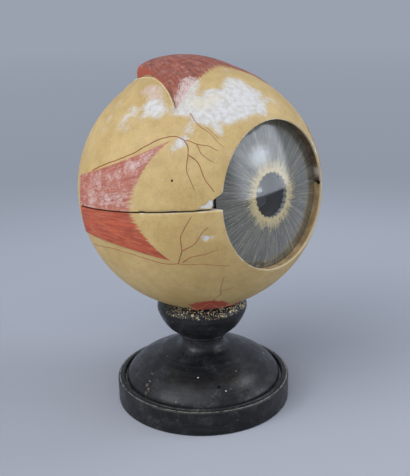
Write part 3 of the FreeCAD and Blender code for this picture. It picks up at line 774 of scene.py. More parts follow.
# %% Worn places
bare_crown = [(191, 101), (204, 96), (222, 90), (228, 77), (242, 80), (252, 90), (262, 101),
              (270, 99), (260, 110), (246, 118), (228, 124), (207, 120), (194, 109)]
spots_of_wear = [          # view pixel, radius in mm, how far the paint has gone
    (154, 92, 5.5, 0.62), (156, 104, 6, 0.64), (160, 112, 4, 0.5), (146, 90, 4, 0.45),
    (132, 111, 4.5, 0.62), (125, 128, 5, 0.42), (110, 118, 3, 0.5), (118, 104, 4, 0.45),
    (188, 132, 3.2, 0.5), (191, 124, 2.5, 0.42), (178, 143, 3.2, 0.66), (184, 142, 2.5, 0.6),
    (182, 108, 3.2, 0.66), (174, 112, 3, 0.55), (206, 238.4, 1.5, 0.95), (212, 237, 1.2, 0.6),
    (200, 236, 1.3, 0.5), (217, 128, 2.6, 0.66), (221, 133, 2.2, 0.5), (186, 92, 5, 0.7),
    (193, 84, 5, 0.6), (181, 103, 4, 0.66), (313, 143, 1.6, 0.8), (316, 150, 1.8, 0.9),
    (319, 158, 1.6, 0.95), (322, 166, 1.5, 0.9), (323, 172, 1.5, 0.8), (322, 182.5, 1.7, 1.0),
    (211.2, 202.5, 1.2, 1.0), (210, 204.6, 1.3, 1.0), (207.4, 206.2, 1.1, 1.0),
    (204.5, 206.9, 0.8, 1.0), (201.5, 207.3, 0.7, 0.8), (262, 110, 4, 0.6), (196, 118, 3, 0.45),
    (186, 114, 3, 0.45), (172, 150, 2, 0.5), (140, 142, 4, 0.3), (150, 108, 4, 0.66),
    (140, 118, 3, 0.4), (104, 128, 3, 0.4), (258, 92, 4, 0.55), (278, 104, 3, 0.5),
    (300, 122, 2.2, 0.5), (84, 203, 1.6, 0.8), (198, 108, 5, 0.75), (206, 118, 4, 0.75),
    (212, 92, 4, 0.6), (192, 100, 3, 0.6), (276, 268, 2.0, 0.5), (150, 125, 6, 0.3),
    (226, 70, 4, 0.45), (246, 72, 5, 0.45), (120, 122, 4, 0.4),
]
notch_place = on_globe(211, 205)
red_below = [              # the end of the muscle that comes up from the stand
    (189, 305), (197, 302.5), (205, 301.5), (214, 300.5), (224, 301.5), (228, 304), (224, 313),
    (212, 316), (198, 315)]
chipped_rim_pixels = [(309, 136), (313, 143), (315, 150), (317, 158), (319, 166), (319, 172),
                      (319, 183)]
chipped_rim = [(on_globe(px, py, globe_radius - 1), 2.2, 1.0) for px, py in chipped_rim_pixels]
spot_places = [(on_globe(px, py), radius, strength) for px, py, radius, strength in spots_of_wear]
unlimited = 1e3           # further than anything on the globe
spot_border = 1.5         # in radii: a spot is fully worn up to 0.5 of them, untouched from here on
bare_softness = 7.0       # mm over which the border of the bare crown fades
print("worn places:", len(spot_places), "spots and one bare crown")

# %% [markdown]
# The distance to an outline is measured on the globe laid flat round the outline's middle. Whether
# a point lies inside is settled by counting how often a line from it crosses the outline.

# %% How worn a point is


def outline_distance(points, outline):
    """Distance in mm of globe points to an outline of view pixels, below 0 inside it."""
    corners = np.array([on_globe(px, py) for px, py in outline])
    out = corners.mean(0) / np.linalg.norm(corners.mean(0))
    east = np.cross(out, (0, 0, 1))
    east /= np.linalg.norm(east)
    north = np.cross(east, out)

    def flat(p):
        unit = p / np.linalg.norm(p, axis=1)[:, None]
        return np.stack([unit @ east, unit @ north], 1) * globe_radius

    spots, ring = flat(points), flat(corners)
    nearest, inside = np.full(len(spots), unlimited), np.zeros(len(spots), bool)
    for a, b in zip(ring, np.roll(ring, -1, 0)):
        share = np.clip((spots - a) @ (b - a) / ((b - a) @ (b - a)), 0, 1)
        offset = spots - a - share[:, None] * (b - a)
        nearest = np.minimum(nearest, np.linalg.norm(offset, axis=1))
        crosses = (a[1] > spots[:, 1]) != (b[1] > spots[:, 1])
        lean = (b[0] - a[0]) * (spots[:, 1] - a[1]) / (b[1] - a[1] + 1e-12) + a[0]
        inside ^= crosses & (spots[:, 0] < lean)
    return np.where(points @ out > 0, np.where(inside, -nearest, nearest), unlimited)


def wear_at(points, places=spot_places, outline=bare_crown):
    """How worn each globe-frame point is, 0 to 1; overlapping places add up softly."""
    kept = np.ones(len(points))
    for centre, radius, strength in places:
        reach = np.linalg.norm(points - centre, axis=1) / radius
        kept *= 1 - strength * np.clip(spot_border - reach, 0, 1)
    if outline:
        kept *= 1 - np.clip(0.62 - outline_distance(points, outline) / bare_softness, 0, 1)
    return 1 - kept


print("wear at the broken corner:", wear_at(np.array([notch_place])).round(2))

# %% [markdown]
# After the cutting, points near the rims are drawn in a little, because paper edges are never
# sharp, and the points of worn patches sink by the thickness of the paint. The upper half's edge
# has also warped upwards in places, as damp paper does. The same distances from the seam and from
# the mouth then say how worn the paint is along both edges.

# %% Soft edges and a swollen face
swell_depth, wear_depth = 0.08, 0.22           # mm
rim_thickness = 0.6                            # mm of the wall that counts as its outer face
seam_rounding, seam_sink = 0.7, 0.5            # mm inwards from an edge, and mm down
mouth_rounding, mouth_sink = 0.9, 0.35
warp_rise, warp_reach, warp_behind = 0.45, 3, 20
seam_wear, seam_wear_reach = 0.55, 1.3         # how bare an edge is, and over how many mm
mouth_wear, mouth_wear_reach = 0.9, 1.1
most_edge_wear = 0.85
plaster_reach = 6.0                            # mm round the broken corner


def wobble(points, per_mm):
    """Slow noise over the globe, about -1 to 1."""
    return np.array([noise.noise(Vector(p) * per_mm) for p in points])


def near(distance, reach):
    """1 at an edge, falling to 0 at its reach."""
    return np.clip(1 - distance / reach, 0, 1)


def sunk_by(points):
    """How far the shell's face lies inside the true ball: paper swells and dries unevenly."""
    return swell_depth * (wobble(points, 0.05) + 0.7) + wear_depth * wear_at(points)


def finish_shell(thing):
    """Softens the rims, sinks the worn places and writes the attributes of the wear."""
    points = to_globe(get_points(thing))
    radius = np.linalg.norm(points, axis=1)
    from_mouth = np.hypot(points[:, 0], points[:, 2]) - opening_radius
    in_front = points[:, 1] < 0
    upper_half = points[:, 2] > seam_gap / 2
    from_seam = np.where(upper_half, points[:, 2] - seam_gap, -points[:, 2])
    uneven = wobble(points, 0.35) * 0.5 + 0.75

    sink = seam_sink * uneven * near(from_seam, seam_rounding)
    sink += mouth_sink * uneven * near(from_mouth, mouth_rounding) * in_front
    outer = near(globe_radius - radius, rim_thickness)
    points *= (1 - outer * (np.maximum(sink, 0) + sunk_by(points)) / radius)[:, None]
    warp = warp_rise * np.clip(uneven - 0.55, 0, 1) * near(from_seam, warp_reach)
    points[:, 2] += np.where(upper_half & (points[:, 1] < warp_behind), warp, 0)
    set_points(thing, to_stand(points))

    edge_wear = seam_wear * near(from_seam, seam_wear_reach) * uneven * np.where(upper_half, 0.5, 1)
    edge_wear += mouth_wear * near(from_mouth, mouth_wear_reach) * uneven * in_front
    set_attribute(thing, "worn", np.maximum(wear_at(points), np.minimum(edge_wear, most_edge_wear)))
    from_notch = np.linalg.norm(points - notch_place, axis=1)
    set_attribute(thing, "plaster", np.maximum(np.clip(1.6 - from_notch / plaster_reach, 0, 1),
                                               wear_at(points, chipped_rim, None)))
    set_attribute(thing, "red", np.clip(0.55 - outline_distance(points, red_below) / 2.0, 0, 1))


print("edges rounded over, mm:", seam_rounding, "and", mouth_rounding)

# %% [markdown]
# The two halves are the same ball with the same cutters, kept on either side of the seam. The
# lower half keeps the holes for the bush and the dowels' tight fit; the upper half has looser
# holes for the dowels, the broken corner and the hole of the lost pin.

# %% Lower and upper shell


def shell_half(name, seam_low, seam_high, nerve_hole, *cutters):
    """Half of the hollow ball, with the cutters that both halves share and those of its own."""
    half = carve(ball(name, globe_radius, ball_detail),
                 [block("seam", (-far, -far, seam_low), (far, far, seam_high))])
    carve(half, [ball("hollow", globe_radius - sclera_wall, hollow_detail), opening_cutter(),
                 groove_cutter(), rod("nerve", nerve_hole, (0, 0, 0), nerve_end, 64), *cutters])
    finish_shell(half)
    return half


lower = shell_half("lower", 0, far, nerve_radius,
                   rod("bush", bush_radius, down_the_stand(bush_top), down_the_stand(bush_end)),
                   nose_side_hole(), *dowel_cutters(dowel_radius, dowel_foot, dowel_top))
dress(lower, "painted_shell_lower", ochre_lower, "globe_lower", ["sclera_lower"])

upper = shell_half("upper", -far, seam_gap, nerve_radius + nerve_fit, ragged_corner(),
                   lost_pin_hole(), nose_side_hole(),
                   *dowel_cutters(dowel_radius + dowel_play, 0.0, dowel_top + 0.05))
dress(upper, "painted_shell_upper", ochre_upper, "globe_upper", ["sclera_upper"])

# %% [markdown]
# ## Muscles in low relief
# The straight muscles are thin layers of pulp on the globe, thicker to the rear and cut square
# there. Each has a plan, as seen from straight above it: its two sides and its hollow front edge,
# in degrees across the globe and backwards, and its heights in front, in the middle and at the end.

# %% Plans of the muscles


def even_sides(side):
    """Both sides of a muscle that is its own mirror image."""
    return {"right": side, "left": [(-across, back) for across, back in side]}


lateral_plan = {"right": [(31.1, -31.8), (24.9, -18.8), (20.6, -7.0), (13.8, 19.0)],
                "left": [(-22.8, -31.2), (-18.2, -18.0), (-15.0, -4.0), (-12.5, 19.0)],
                "front": (4.0, -19.8), "turn": -90, "rises": (0.35, 1.0, 1.9)}
medial_plan = {**even_sides([(24.0, -27.0), (19.5, -14.0), (16.0, -2.0), (13.5, 19.0)]),
               "front": (0.0, -15.0), "turn": 90, "rises": (0.35, 1.0, 1.9)}
superior_plan = {
    **even_sides([(35.8, -26.6), (29.1, -12.8), (23.6, 0.0), (18.0, 13.5), (17.5, 18.5)]),
    "front": (0.0, -21.6), "turn": 0, "rises": (0.35, 2.2, 4.6), "crown": (0.3, 4.12, 7.12)}
crown_axis_height = 22.0  # of the axis that the superior rectus is rounded about
print("plans turned about the eye by, degrees:",
      [plan["turn"] for plan in (lateral_plan, medial_plan, superior_plan)])

# %% [markdown]
# The sides are polynomials through their points, and the hollow front edge is a circle through
# both tips and its middle. The belly of the superior rectus is rounded across, as a muscle is.

# %% Curves of a plan


def in_mm(points):
    """Plan points in mm from their angles on the globe."""
    return globe_radius * np.sin(np.radians(np.array(points, float)))


def through(points):
    """The polynomial that gives x from y through the points of a side."""
    x, y = in_mm(points).T
    return np.poly1d(np.polyfit(y, x, len(points) - 1))


def front_arc(plan):
    """y of the hollow front edge from x: a circle through both tips and its middle."""
    (x1, y1), (x2, y2), (x3, y3) = in_mm([plan["right"][0], plan["front"], plan["left"][0]])
    a = np.array([[2 * (x2 - x1), 2 * (y2 - y1)], [2 * (x3 - x1), 2 * (y3 - y1)]])
    b = np.array([x2**2 - x1**2 + y2**2 - y1**2, x3**2 - x1**2 + y3**2 - y1**2])
    cx, cy = np.linalg.solve(a, b)
    radius = math.hypot(x1 - cx, y1 - cy)
    return lambda x: cy + np.sqrt(np.maximum(radius**2 - (x - cx)**2, 0))


def height_over_globe(plan, x, y, back):
    """How far the muscle stands over the globe: an even layer, and a belly crowned across it."""
    stations = [in_mm(plan["right"])[0][1], 0, back]
    height = np.poly1d(np.polyfit(stations, plan["rises"], 2))(y)
    if "crown" in plan:
        rise = np.poly1d(np.polyfit(stations, plan["crown"], 2))(y)
        middle = np.sqrt(np.maximum((globe_radius + rise)**2 - y**2, 0)) - crown_axis_height
        top = crown_axis_height + np.sqrt(np.maximum(middle**2 - x**2, 0))
        height = np.maximum(height, np.sqrt(x**2 + y**2 + top**2) - globe_radius)
    return height


print("front edge of the superior rectus, mm from the middle:",
      round(float(front_arc(superior_plan)(0)), 1))

# %% [markdown]
# A muscle is a grid of points between its two sides, laid over the globe and closed below. The
# grid is settled in a few rounds, because each side depends on how far back a point lies, and the
# hollow front edge on how far across. The tendon in front has no step, because the paper was
# smoothed down into the globe. The fibres run from front to back, so the mesh carries attributes
# for how far along and across a point lies, and the brush strokes of the paint follow them.

# %% Layers over the globe
sunk_under = 0.9          # how deep the underside of a layer lies in the shell
tendon_length = 5.0       # over which a muscle rises from the globe in front
tendon_sink = 0.12        # how far its front edge starts below the globe's face
side_rounding, side_drop = 0.9, 0.35
fibre_relief = 0.14       # mm between the ridges and furrows of the fibres
tip_reach = 5.0           # how much nearer its front edge the red comes at a muscle's tips
settling_rounds = 30
grid_along, grid_across = ((130, 170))


def close_patch(name, top, under, rows, columns):
    """A closed solid from the points of its upper and lower grid."""
    count = rows * columns
    index = np.arange(count).reshape(rows, columns)
    corners = [index[:-1, :-1], index[1:, :-1], index[1:, 1:], index[:-1, 1:]]
    quads = np.stack(corners, -1).reshape(-1, 4)
    rim = np.concatenate([index[0, :-1], index[:-1, -1], index[-1, :0:-1], index[:0:-1, 0]])
    skirt = [(a, b, b + count, a + count) for a, b in zip(rim, np.roll(rim, -1))]
    faces = [tuple(q) for q in quads] + [tuple(q[::-1] + count) for q in quads] + skirt
    patch = mesh_object(name, to_stand(np.concatenate([top, under])), faces)
    make_outward(patch)
    return patch


def laid_muscle(name, plan, low=-unlimited, high=unlimited, margin=0.05):
    """A closed patch of muscle between two heights of its plan, with its fibre attributes."""
    right_side, left_side = through(plan["right"]), through(plan["left"])
    front, back = front_arc(plan), in_mm(plan["right"])[-1][1]
    s, t = np.meshgrid(np.linspace(0, 1, grid_along)**1.2, np.linspace(0, 1, grid_across),
                       indexing="ij")
    x, y = np.zeros_like(s), back * s
    for _ in range(settling_rounds):
        from_x = np.clip(left_side(y) + margin, low, high)
        to_x = np.clip(right_side(y) - margin, low, high)
        x = from_x + t * (to_x - from_x)
        y = 0.5 * y + 0.5 * (front(x) + s * (back - front(x)))
    along = y - front(x)
    from_left = x - from_x if low == -unlimited else np.full_like(x, unlimited)
    from_right = to_x - x if high == unlimited else np.full_like(x, unlimited)
    side_edge = np.minimum(from_left, from_right)
    share_across = (x - left_side(y)) / (right_side(y) - left_side(y))
    fibre = (share_across - 0.5) * (right_side(0) - left_side(0))

    ridges = np.array([noise.noise(Vector((a * 1.3, b * 0.05, 2.0))) for a, b in
                       zip(fibre.ravel(), y.ravel())]).reshape(x.shape)
    rounding = near(np.minimum(side_edge, back - y), side_rounding)**2
    tendon = np.clip(along / tendon_length, 0, 1)
    tendon = tendon * tendon * (3 - 2 * tendon)
    height = height_over_globe(plan, x, y, back)
    furrow = np.minimum(fibre_relief, 0.3 * height) * (ridges + 1) * 0.5
    height = tendon * (height * (1 - side_drop * rounding) - furrow) - tendon_sink * (1 - tendon)
    turn = math.radians(plan["turn"])

    def laid(radius):
        z = np.sqrt(np.maximum(radius**2 - x**2 - y**2, 0))
        return np.stack([x * math.cos(turn) + z * math.sin(turn), y,
                         -x * math.sin(turn) + z * math.cos(turn)], -1).reshape(-1, 3)

    patch = close_patch(name, laid(globe_radius + height), laid(globe_radius - sunk_under),
                        grid_along, grid_across)
    along = along * (1 + tip_reach * (2 * share_across - 1)**2)
    for key, values in (("along", along), ("across", fibre), ("edge", side_edge)):
        set_attribute(patch, key, np.tile(values.ravel(), 2))
    return patch


print("points in a muscle's grid:", grid_along * grid_across)

# %% [markdown]
# The muscles are painted in brick-red distemper with a stiff brush: streaks of a darker and a paler
# red lie along the fibres, and in front the red frays out over the ochre. Where it is rubbed, some
# red stays in the chalk. The upper half is the one that is handled, so its red is duller and paler.

# %% Brick-red distemper, brushed along the fibres
scuff_white = "#d2c1bd"    # chalk with some red left in it
fresh_reds = ("#b4543a", "#93412d", "#d08a68")      # the red, its shadows and its lights


def fibre_streaks(tree, across, along, per_mm, drift, seed, low, high, cover=1.0):
    """Noise drawn out along the fibres."""
    lane = add(tree, MATH, {0: across, 1: per_mm}, operation="MULTIPLY")
    run = add(tree, MATH, {0: along, 1: drift}, operation="MULTIPLY")
    lanes = add(tree, "ShaderNodeCombineXYZ", {0: lane, 1: run, 2: seed})
    return patches(tree, lanes, 1.0, low, high, cover, 3.0, 0.65)


def muscle_material(name, reds, fray_mm, scuff_colour, scuff_cover, fibres=None, rim="#b9925e"):
    """Red paint in streaks over ochre: it frays out in front, and is worn where worn says.
    fibres gives how far across and along a point lies, where the mesh has no attributes for it."""
    red, dark, pale = reds
    material, tree = new_material(name)
    place = globe_place(tree)
    if fibres:
        across, along = fibres(tree, place)
        edge, worn = unlimited, 0.0
    else:
        across, along, edge, worn = [add(tree, ATTRIBUTE, attribute_name=key).outputs["Fac"]
                                     for key in ("across", "along", "edge", "worn")]

    def streaks(*shape):
        return fibre_streaks(tree, across, along, *shape)

    powder = add(tree, MATH, {0: streaks(1.2, 0.25, 31.0, 0.25, 0.75), 1: 0.45, 2: worn},
                 operation="MULTIPLY_ADD")
    powder = add(tree, MATH, {0: powder, 1: 0.30}, operation="SUBTRACT")
    bare = add(tree, MATH, {0: scuffed(tree, place, powder, 2.0, 0.34, 1.0), 1: 0.85},
               operation="MULTIPLY")
    rubbed = add(tree, MATH, {0: patches(tree, place, 3.0, 0.44, 0.70, scuff_cover, 8.0, 0.75),
                              1: streaks(1.4, 0.12, 21.0, 0.30, 0.62)}, operation="MULTIPLY")
    colour = coats(tree, red, (streaks(0.9, 0.03, 1.0, 0.38, 0.66), dark),
                   (streaks(2.4, 0.05, 5.0, 0.50, 0.72, 0.55), pale),
                   (streaks(4.5, 0.10, 7.0, 0.55, 0.70, 0.45), dark),
                   (patches(tree, place, 4.0, 0.45, 0.75, 0.3), dark),
                   (rubbed, scuff_colour))
    fray = add(tree, MATH, {0: streaks(1.5, 0.0, 9.0, 0.25, 0.75), 1: -fray_mm, 2: along},
               operation="MULTIPLY_ADD")
    fray = add(tree, MATH, {0: streaks(5.0, 0.0, 15.0, 0.30, 0.70), 1: -0.3 * fray_mm, 2: fray},
               operation="MULTIPLY_ADD")
    painted = add(tree, RANGE, {"Value": fray, "From Min": -0.5, "From Max": 0.4 + 0.22 * fray_mm})
    inside_edge = add(tree, RANGE, {"Value": edge, "From Min": 0.2, "From Max": 0.55})
    colour = coats(tree, rim, (inside_edge, colour))
    chalk = coats(tree, chalk_white, (painted, scuff_white))
    flecks = patches(tree, place, 0.6, 0.69, 0.73, 0.8)
    colour = coats(tree, ochre_paint(tree, place), (painted, colour), (bare, chalk),
                   (flecks, "#d8c6b8"))

    ridge = streaks(1.6, 0.03, 3.0, 0.2, 0.8)
    rough = add(tree, RANGE, {"Value": ridge, "To Min": 0.48, "To Max": 0.66})
    relief = add(tree, MATH, {0: bare, 1: -1.0, 2: ridge}, operation="MULTIPLY_ADD")
    bump = add(tree, "ShaderNodeBump", {"Height": relief, "Strength": 0.5, "Distance": 0.15 * MM})
    surface(tree, Base_Color=colour, Roughness=rough, Normal=bump)
    return material


fresh_red = muscle_material("brick_distemper", fresh_reds, 6.0, "#c99a86", 0.15)
worn_red = muscle_material("worn_brick_distemper", ("#ac6756", "#985141", "#cda292"), 5.0,
                           "#cdb0a8", 1.0)
top_red = muscle_material("top_brick_distemper", ("#9a4f3d", "#6f382c", "#c58a72"), 4.5,
                          "#c9a49b", 0.45, rim="#9c4c38")
print("reds:", fresh_red.name, worn_red.name, top_red.name)

# %% [markdown]
# The wear of the muscles is given by view pixels too, and the wear of the shell carries on across
# them, because hands don't stop at a border. The seam cuts the muscles of both sides in two.

# %% The straight muscles
muscle_wear = [            # view pixel, radius in mm, how far the paint has gone
    (97, 180, 4, 0.62), (91, 190, 4, 0.5), (104, 199, 5, 0.66), (116, 200, 4, 0.6),
    (92, 202, 4, 0.66), (128, 205, 3.5, 0.5), (108, 178, 3, 0.6), (117, 174, 3, 0.66),
    (127, 168, 3, 0.66), (135, 165, 3, 0.66), (143, 160, 3, 0.6), (150, 153, 3, 0.5),
    (121, 190, 5, 0.3), (186, 80, 4, 0.66), (190, 88, 5, 0.8), (180, 96, 3, 0.6),
    (196, 80, 4, 0.6), (184, 72, 3, 0.5), (184, 104, 3, 0.66), (176, 100, 2, 0.5),
    (178, 108, 3, 0.5), (198, 90, 4, 0.8), (187, 98, 4, 0.75), (150, 66, 2, 0.5),
    (157, 68, 2, 0.4), (172, 70, 3, 0.35),
]
muscle_wear_places = [(on_globe(px, py, globe_radius + 1), radius, strength)
                      for px, py, radius, strength in muscle_wear]

for name, plan, low, high, material, body in (
        ("lateral_rectus_lower", lateral_plan, -unlimited, 0.0, fresh_red, "globe_lower"),
        ("lateral_rectus_upper", lateral_plan, seam_gap, unlimited, worn_red, "globe_upper"),
        ("medial_rectus_lower", medial_plan, 0.0, unlimited, fresh_red, "globe_lower"),
        ("medial_rectus_upper", medial_plan, -unlimited, -seam_gap, worn_red, "globe_upper"),
        ("superior_rectus", superior_plan, -unlimited, unlimited, top_red, "globe_upper")):
    muscle = laid_muscle(name, plan, low, high)
    muscle_points = to_globe(get_points(muscle))
    kept = (1 - wear_at(muscle_points, muscle_wear_places, None)) * (1 - wear_at(muscle_points))
    set_attribute(muscle, "worn", 1 - kept)
    dress(muscle, "painted_" + name, material, body, [name], 50.0)

# %% [markdown]
# The tendon fan of the superior oblique is a low swelling of the globe's own colour beside the
# superior rectus. Its outline is a closed curve, and it is filled from its middle outwards in
# rings, so that its rim can be rounded off ring by ring, steeply in front and gently behind.

# %% The tendon fan
fan_outline = [(-11.5, 17.5), (-15.5, -3.8), (-29.4, -17.5), (-37.5, -10.6), (-41.8, 2.9),
               (-32.2, 16.5)]         # degrees, as seen from the top of the globe
fan_rise = 0.7
fan_steps, fan_rings = ((192, 40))


def closed_curve(points, steps):
    """A smooth closed curve through points, by a Fourier series over their numbers."""
    count = len(points)
    waves = np.fft.fft(points[:, 0] + 1j * points[:, 1]) / count
    order = np.fft.fftfreq(count, 1 / count)
    place = np.arange(steps) / steps
    curve = sum(wave * np.exp(2j * math.pi * k * place) for wave, k in zip(waves, order))
    return np.stack([curve.real, curve.imag], 1)


def tendon_fan():
    """A closed layer over the globe, in rings from its middle to its rim."""
    rim = closed_curve(in_mm(fan_outline), fan_steps)
    middle = rim.mean(0)
    share = np.linspace(0.02, 1, fan_rings)
    flat = middle + share[:, None, None] * (rim - middle)
    x, y = flat[..., 0], flat[..., 1]
    inner_side = np.clip((x + 34) / 10, 0, 1)
    swell = np.clip((1 - share[:, None]) / (0.62 - 0.50 * inner_side), 0, 1)
    height = fan_rise * 0.95 * np.sin(swell * math.pi / 2)**0.8 - 0.06

    def laid(radius):
        return np.stack([x, y, np.sqrt(radius**2 - x**2 - y**2)], -1).reshape(-1, 3)

    index = np.arange(fan_rings * fan_steps).reshape(fan_rings, fan_steps)
    after = np.roll(index, -1, 1)
    quads = np.stack([index[:-1], after[:-1], after[1:], index[1:]], -1).reshape(-1, 4)
    rim_wall = np.stack([index[-1], after[-1], after[-1] + index.size, index[-1] + index.size], -1)
    faces = [*quads, *(quads[:, ::-1] + index.size), *rim_wall, index[0], index[0] + index.size]
    points = np.concatenate([laid(globe_radius + height), laid(globe_radius - sunk_under)])
    fan = mesh_object("fan", to_stand(points), faces)
    make_outward(fan)
    return fan


def fan_material():
    """The shell's ochre and its scuffs, without the shell's layers by depth."""
    material, tree = new_material("ochre_distemper_on_tendon")
    place = globe_place(tree)
    worn = add(tree, ATTRIBUTE, attribute_name="worn").outputs["Fac"]
    bare = scuffed(tree, place, worn, scuff_size)
    chalk = coats(tree, "#d0c6c2", (patches(tree, place, 4.0, 0.30, 0.6), "#c3aca6"))
    colour = coats(tree, ochre_paint(tree, place), soil_coat(tree, place), (bare, chalk))
    distemper_surface(tree, place, colour, bare, 0.0, 0.4)
    return material


fan = tendon_fan()
set_attribute(fan, "worn", wear_at(to_globe(get_points(fan))))
dress(fan, "tendon_fan", fan_material(), "globe_upper", ["superior_oblique"], 60.0)

# %% [markdown]
# The strap of the inferior oblique and the inferior rectus keep their solids from the frame, and
# only take the red paint. Their meshes carry no attributes, so the material finds the fibres by
# itself: those of the rectus run straight back, and those of the strap are found by undoing the
# turns that laid it on the globe.

# %% Inferior rectus and inferior oblique
strap_turns = (25.0, -128.0, 20.0)      # about Z, X and Z from the top of the globe
tendon_at, strap_end = 36.0, 60.0       # mm in front of the globe's centre, where fibres start


def paint_nodes(material, *nodes):
    """Gives CAD nodes a material in all their slots."""
    for node in nodes:
        for slot in frame["nodes"][node].material_slots:
            slot.material = material
    print(material.name, "on", *nodes)


def along_the_eye(tree, place):
    """Fibres of the inferior rectus: across is the globe's x, along is its y from the tendon."""
    split = add(tree, "ShaderNodeSeparateXYZ", {0: place})
    along = add(tree, MATH, {0: split.outputs[1], 1: tendon_at}, operation="ADD")
    return split.outputs[0], along


def along_the_strap(tree, place):
    """Fibres of the inferior oblique: its place before the strap was turned round the globe."""
    a, b, c = (math.radians(turn) for turn in strap_turns)
    turned = Matrix.Rotation(c, 3, "Z") @ Matrix.Rotation(b, 3, "X") @ Matrix.Rotation(a, 3, "Z")
    undone = turned.inverted().to_euler("XYZ")
    split = add(tree, "ShaderNodeSeparateXYZ",
                {0: add(tree, "ShaderNodeMapping", {"Vector": place, "Rotation": undone})})
    along = add(tree, MATH, {0: split.outputs[0], 1: strap_end}, operation="ADD")
    return split.outputs[1], along


for node, name, fray_mm, fibres in (
        ("inferior_rectus", "brick_distemper_below", 5.0, along_the_eye),
        ("inferior_oblique", "brick_distemper_strap", 3.0, along_the_strap)):
    paint_nodes(muscle_material(name, fresh_reds, fray_mm, "#c99a86", 0.3, fibres), node)

# %% [markdown]
# ## The painted iris
# The iris plate is paper too: a shallow dome with a flat rim, its pupil cut out in two dozen small
# scallops. It is turned from its section, with as many points round as the scallops need. The same
# function makes the cornea later, as a dome without a rim and with a closed middle.

# %% Iris plate
iris_rim = groove_front + 0.2
iris_wall = 1.8
iris_bulge = 3.2
iris_dome_radius = opening_radius - 0.8
iris_plate_radius = groove_radius - 0.3
pupil_cusp, pupil_lobe, pupil_lobes = 11.2, 10.2, 24


def sphere_of(dome_radius, bulge):
    """The radius of the ball that a shallow dome is a cap of."""
    return (dome_radius**2 + bulge**2) / (2 * bulge)


def dome_height(radius, dome_radius, bulge):
    """How far a shallow dome stands in front of its rim at a distance from the axis."""
    sphere = sphere_of(dome_radius, bulge)
    dome = np.sqrt(np.maximum(sphere**2 - radius**2, 0)) - sphere + bulge
    return np.where(radius < dome_radius, dome, 0)


def dished_plate(name, inner, dome_radius, plate_radius, rim, bulge, wall, rings, segments):
    """A domed plate on the optical axis; inner gives the radius of its hole round the circle."""
    turn = np.linspace(0, 2 * math.pi, segments, endpoint=False)
    hole = inner(turn)
    grid = []
    for level in (0.0, wall):
        for step in np.linspace(0, 1, rings):
            radius = hole + step * (dome_radius - hole)
            y = rim + level - dome_height(radius, dome_radius, bulge)
            grid.append(np.stack([radius * np.cos(turn), y, radius * np.sin(turn)], 1))
        if plate_radius > dome_radius:
            flange = np.full(segments, plate_radius)
            grid.append(np.stack([flange * np.cos(turn), np.full(segments, rim + level),
                                  flange * np.sin(turn)], 1))
    per_side = len(grid) // 2
    index = np.arange(len(grid) * segments).reshape(len(grid), segments)
    index = np.concatenate([index[:per_side], index[:per_side - 1:-1]])
    after, further = np.roll(index, -1, 1), np.roll(index, -1, 0)
    faces = np.stack([index, after, np.roll(after, -1, 0), further], -1).reshape(-1, 4)
    plate = mesh_object(name, to_stand(np.concatenate(grid)), faces)
    make_outward(plate, merge=1e-6)
    return plate


def scallops(turn):
    """The radius of the pupil's edge round the circle: shallow lobes between sharp cusps."""
    within = (turn * pupil_lobes / (2 * math.pi)) % 1.0 - 0.5
    return pupil_lobe + (pupil_cusp - pupil_lobe) * (2 * np.abs(within))**2


iris = dished_plate("iris", scallops, iris_dome_radius, iris_plate_radius, iris_rim, iris_bulge,
                    iris_wall, 20, pupil_lobes * 16)
print("the pupil has", pupil_lobes, "lobes")

# %% [markdown]
# Its ground is a neutral grey, brushed outwards from the pupil, with a cream ring that frays out
# from the pupil and a black rim. It is painted darker on the temple side, a painted shade. The
# pattern is drawn on the circle: noise is stretched along the radii by reading it round a cylinder.
# The paper's edge in the pupil is painted pale grey, a painted highlight that lifts it out of the
# pupil's shade.

# %% Iris paint
ring_from, ring_to = 11.5, 14.9         # mm from the axis over which the cream ring frays out
ring_fray = 3.6
# over these mm towards the temple side the grey takes a painted shade
painted_shade_from, painted_shade_to = -14.0, -34.0     # mm to the temple side
black_from = 35.2


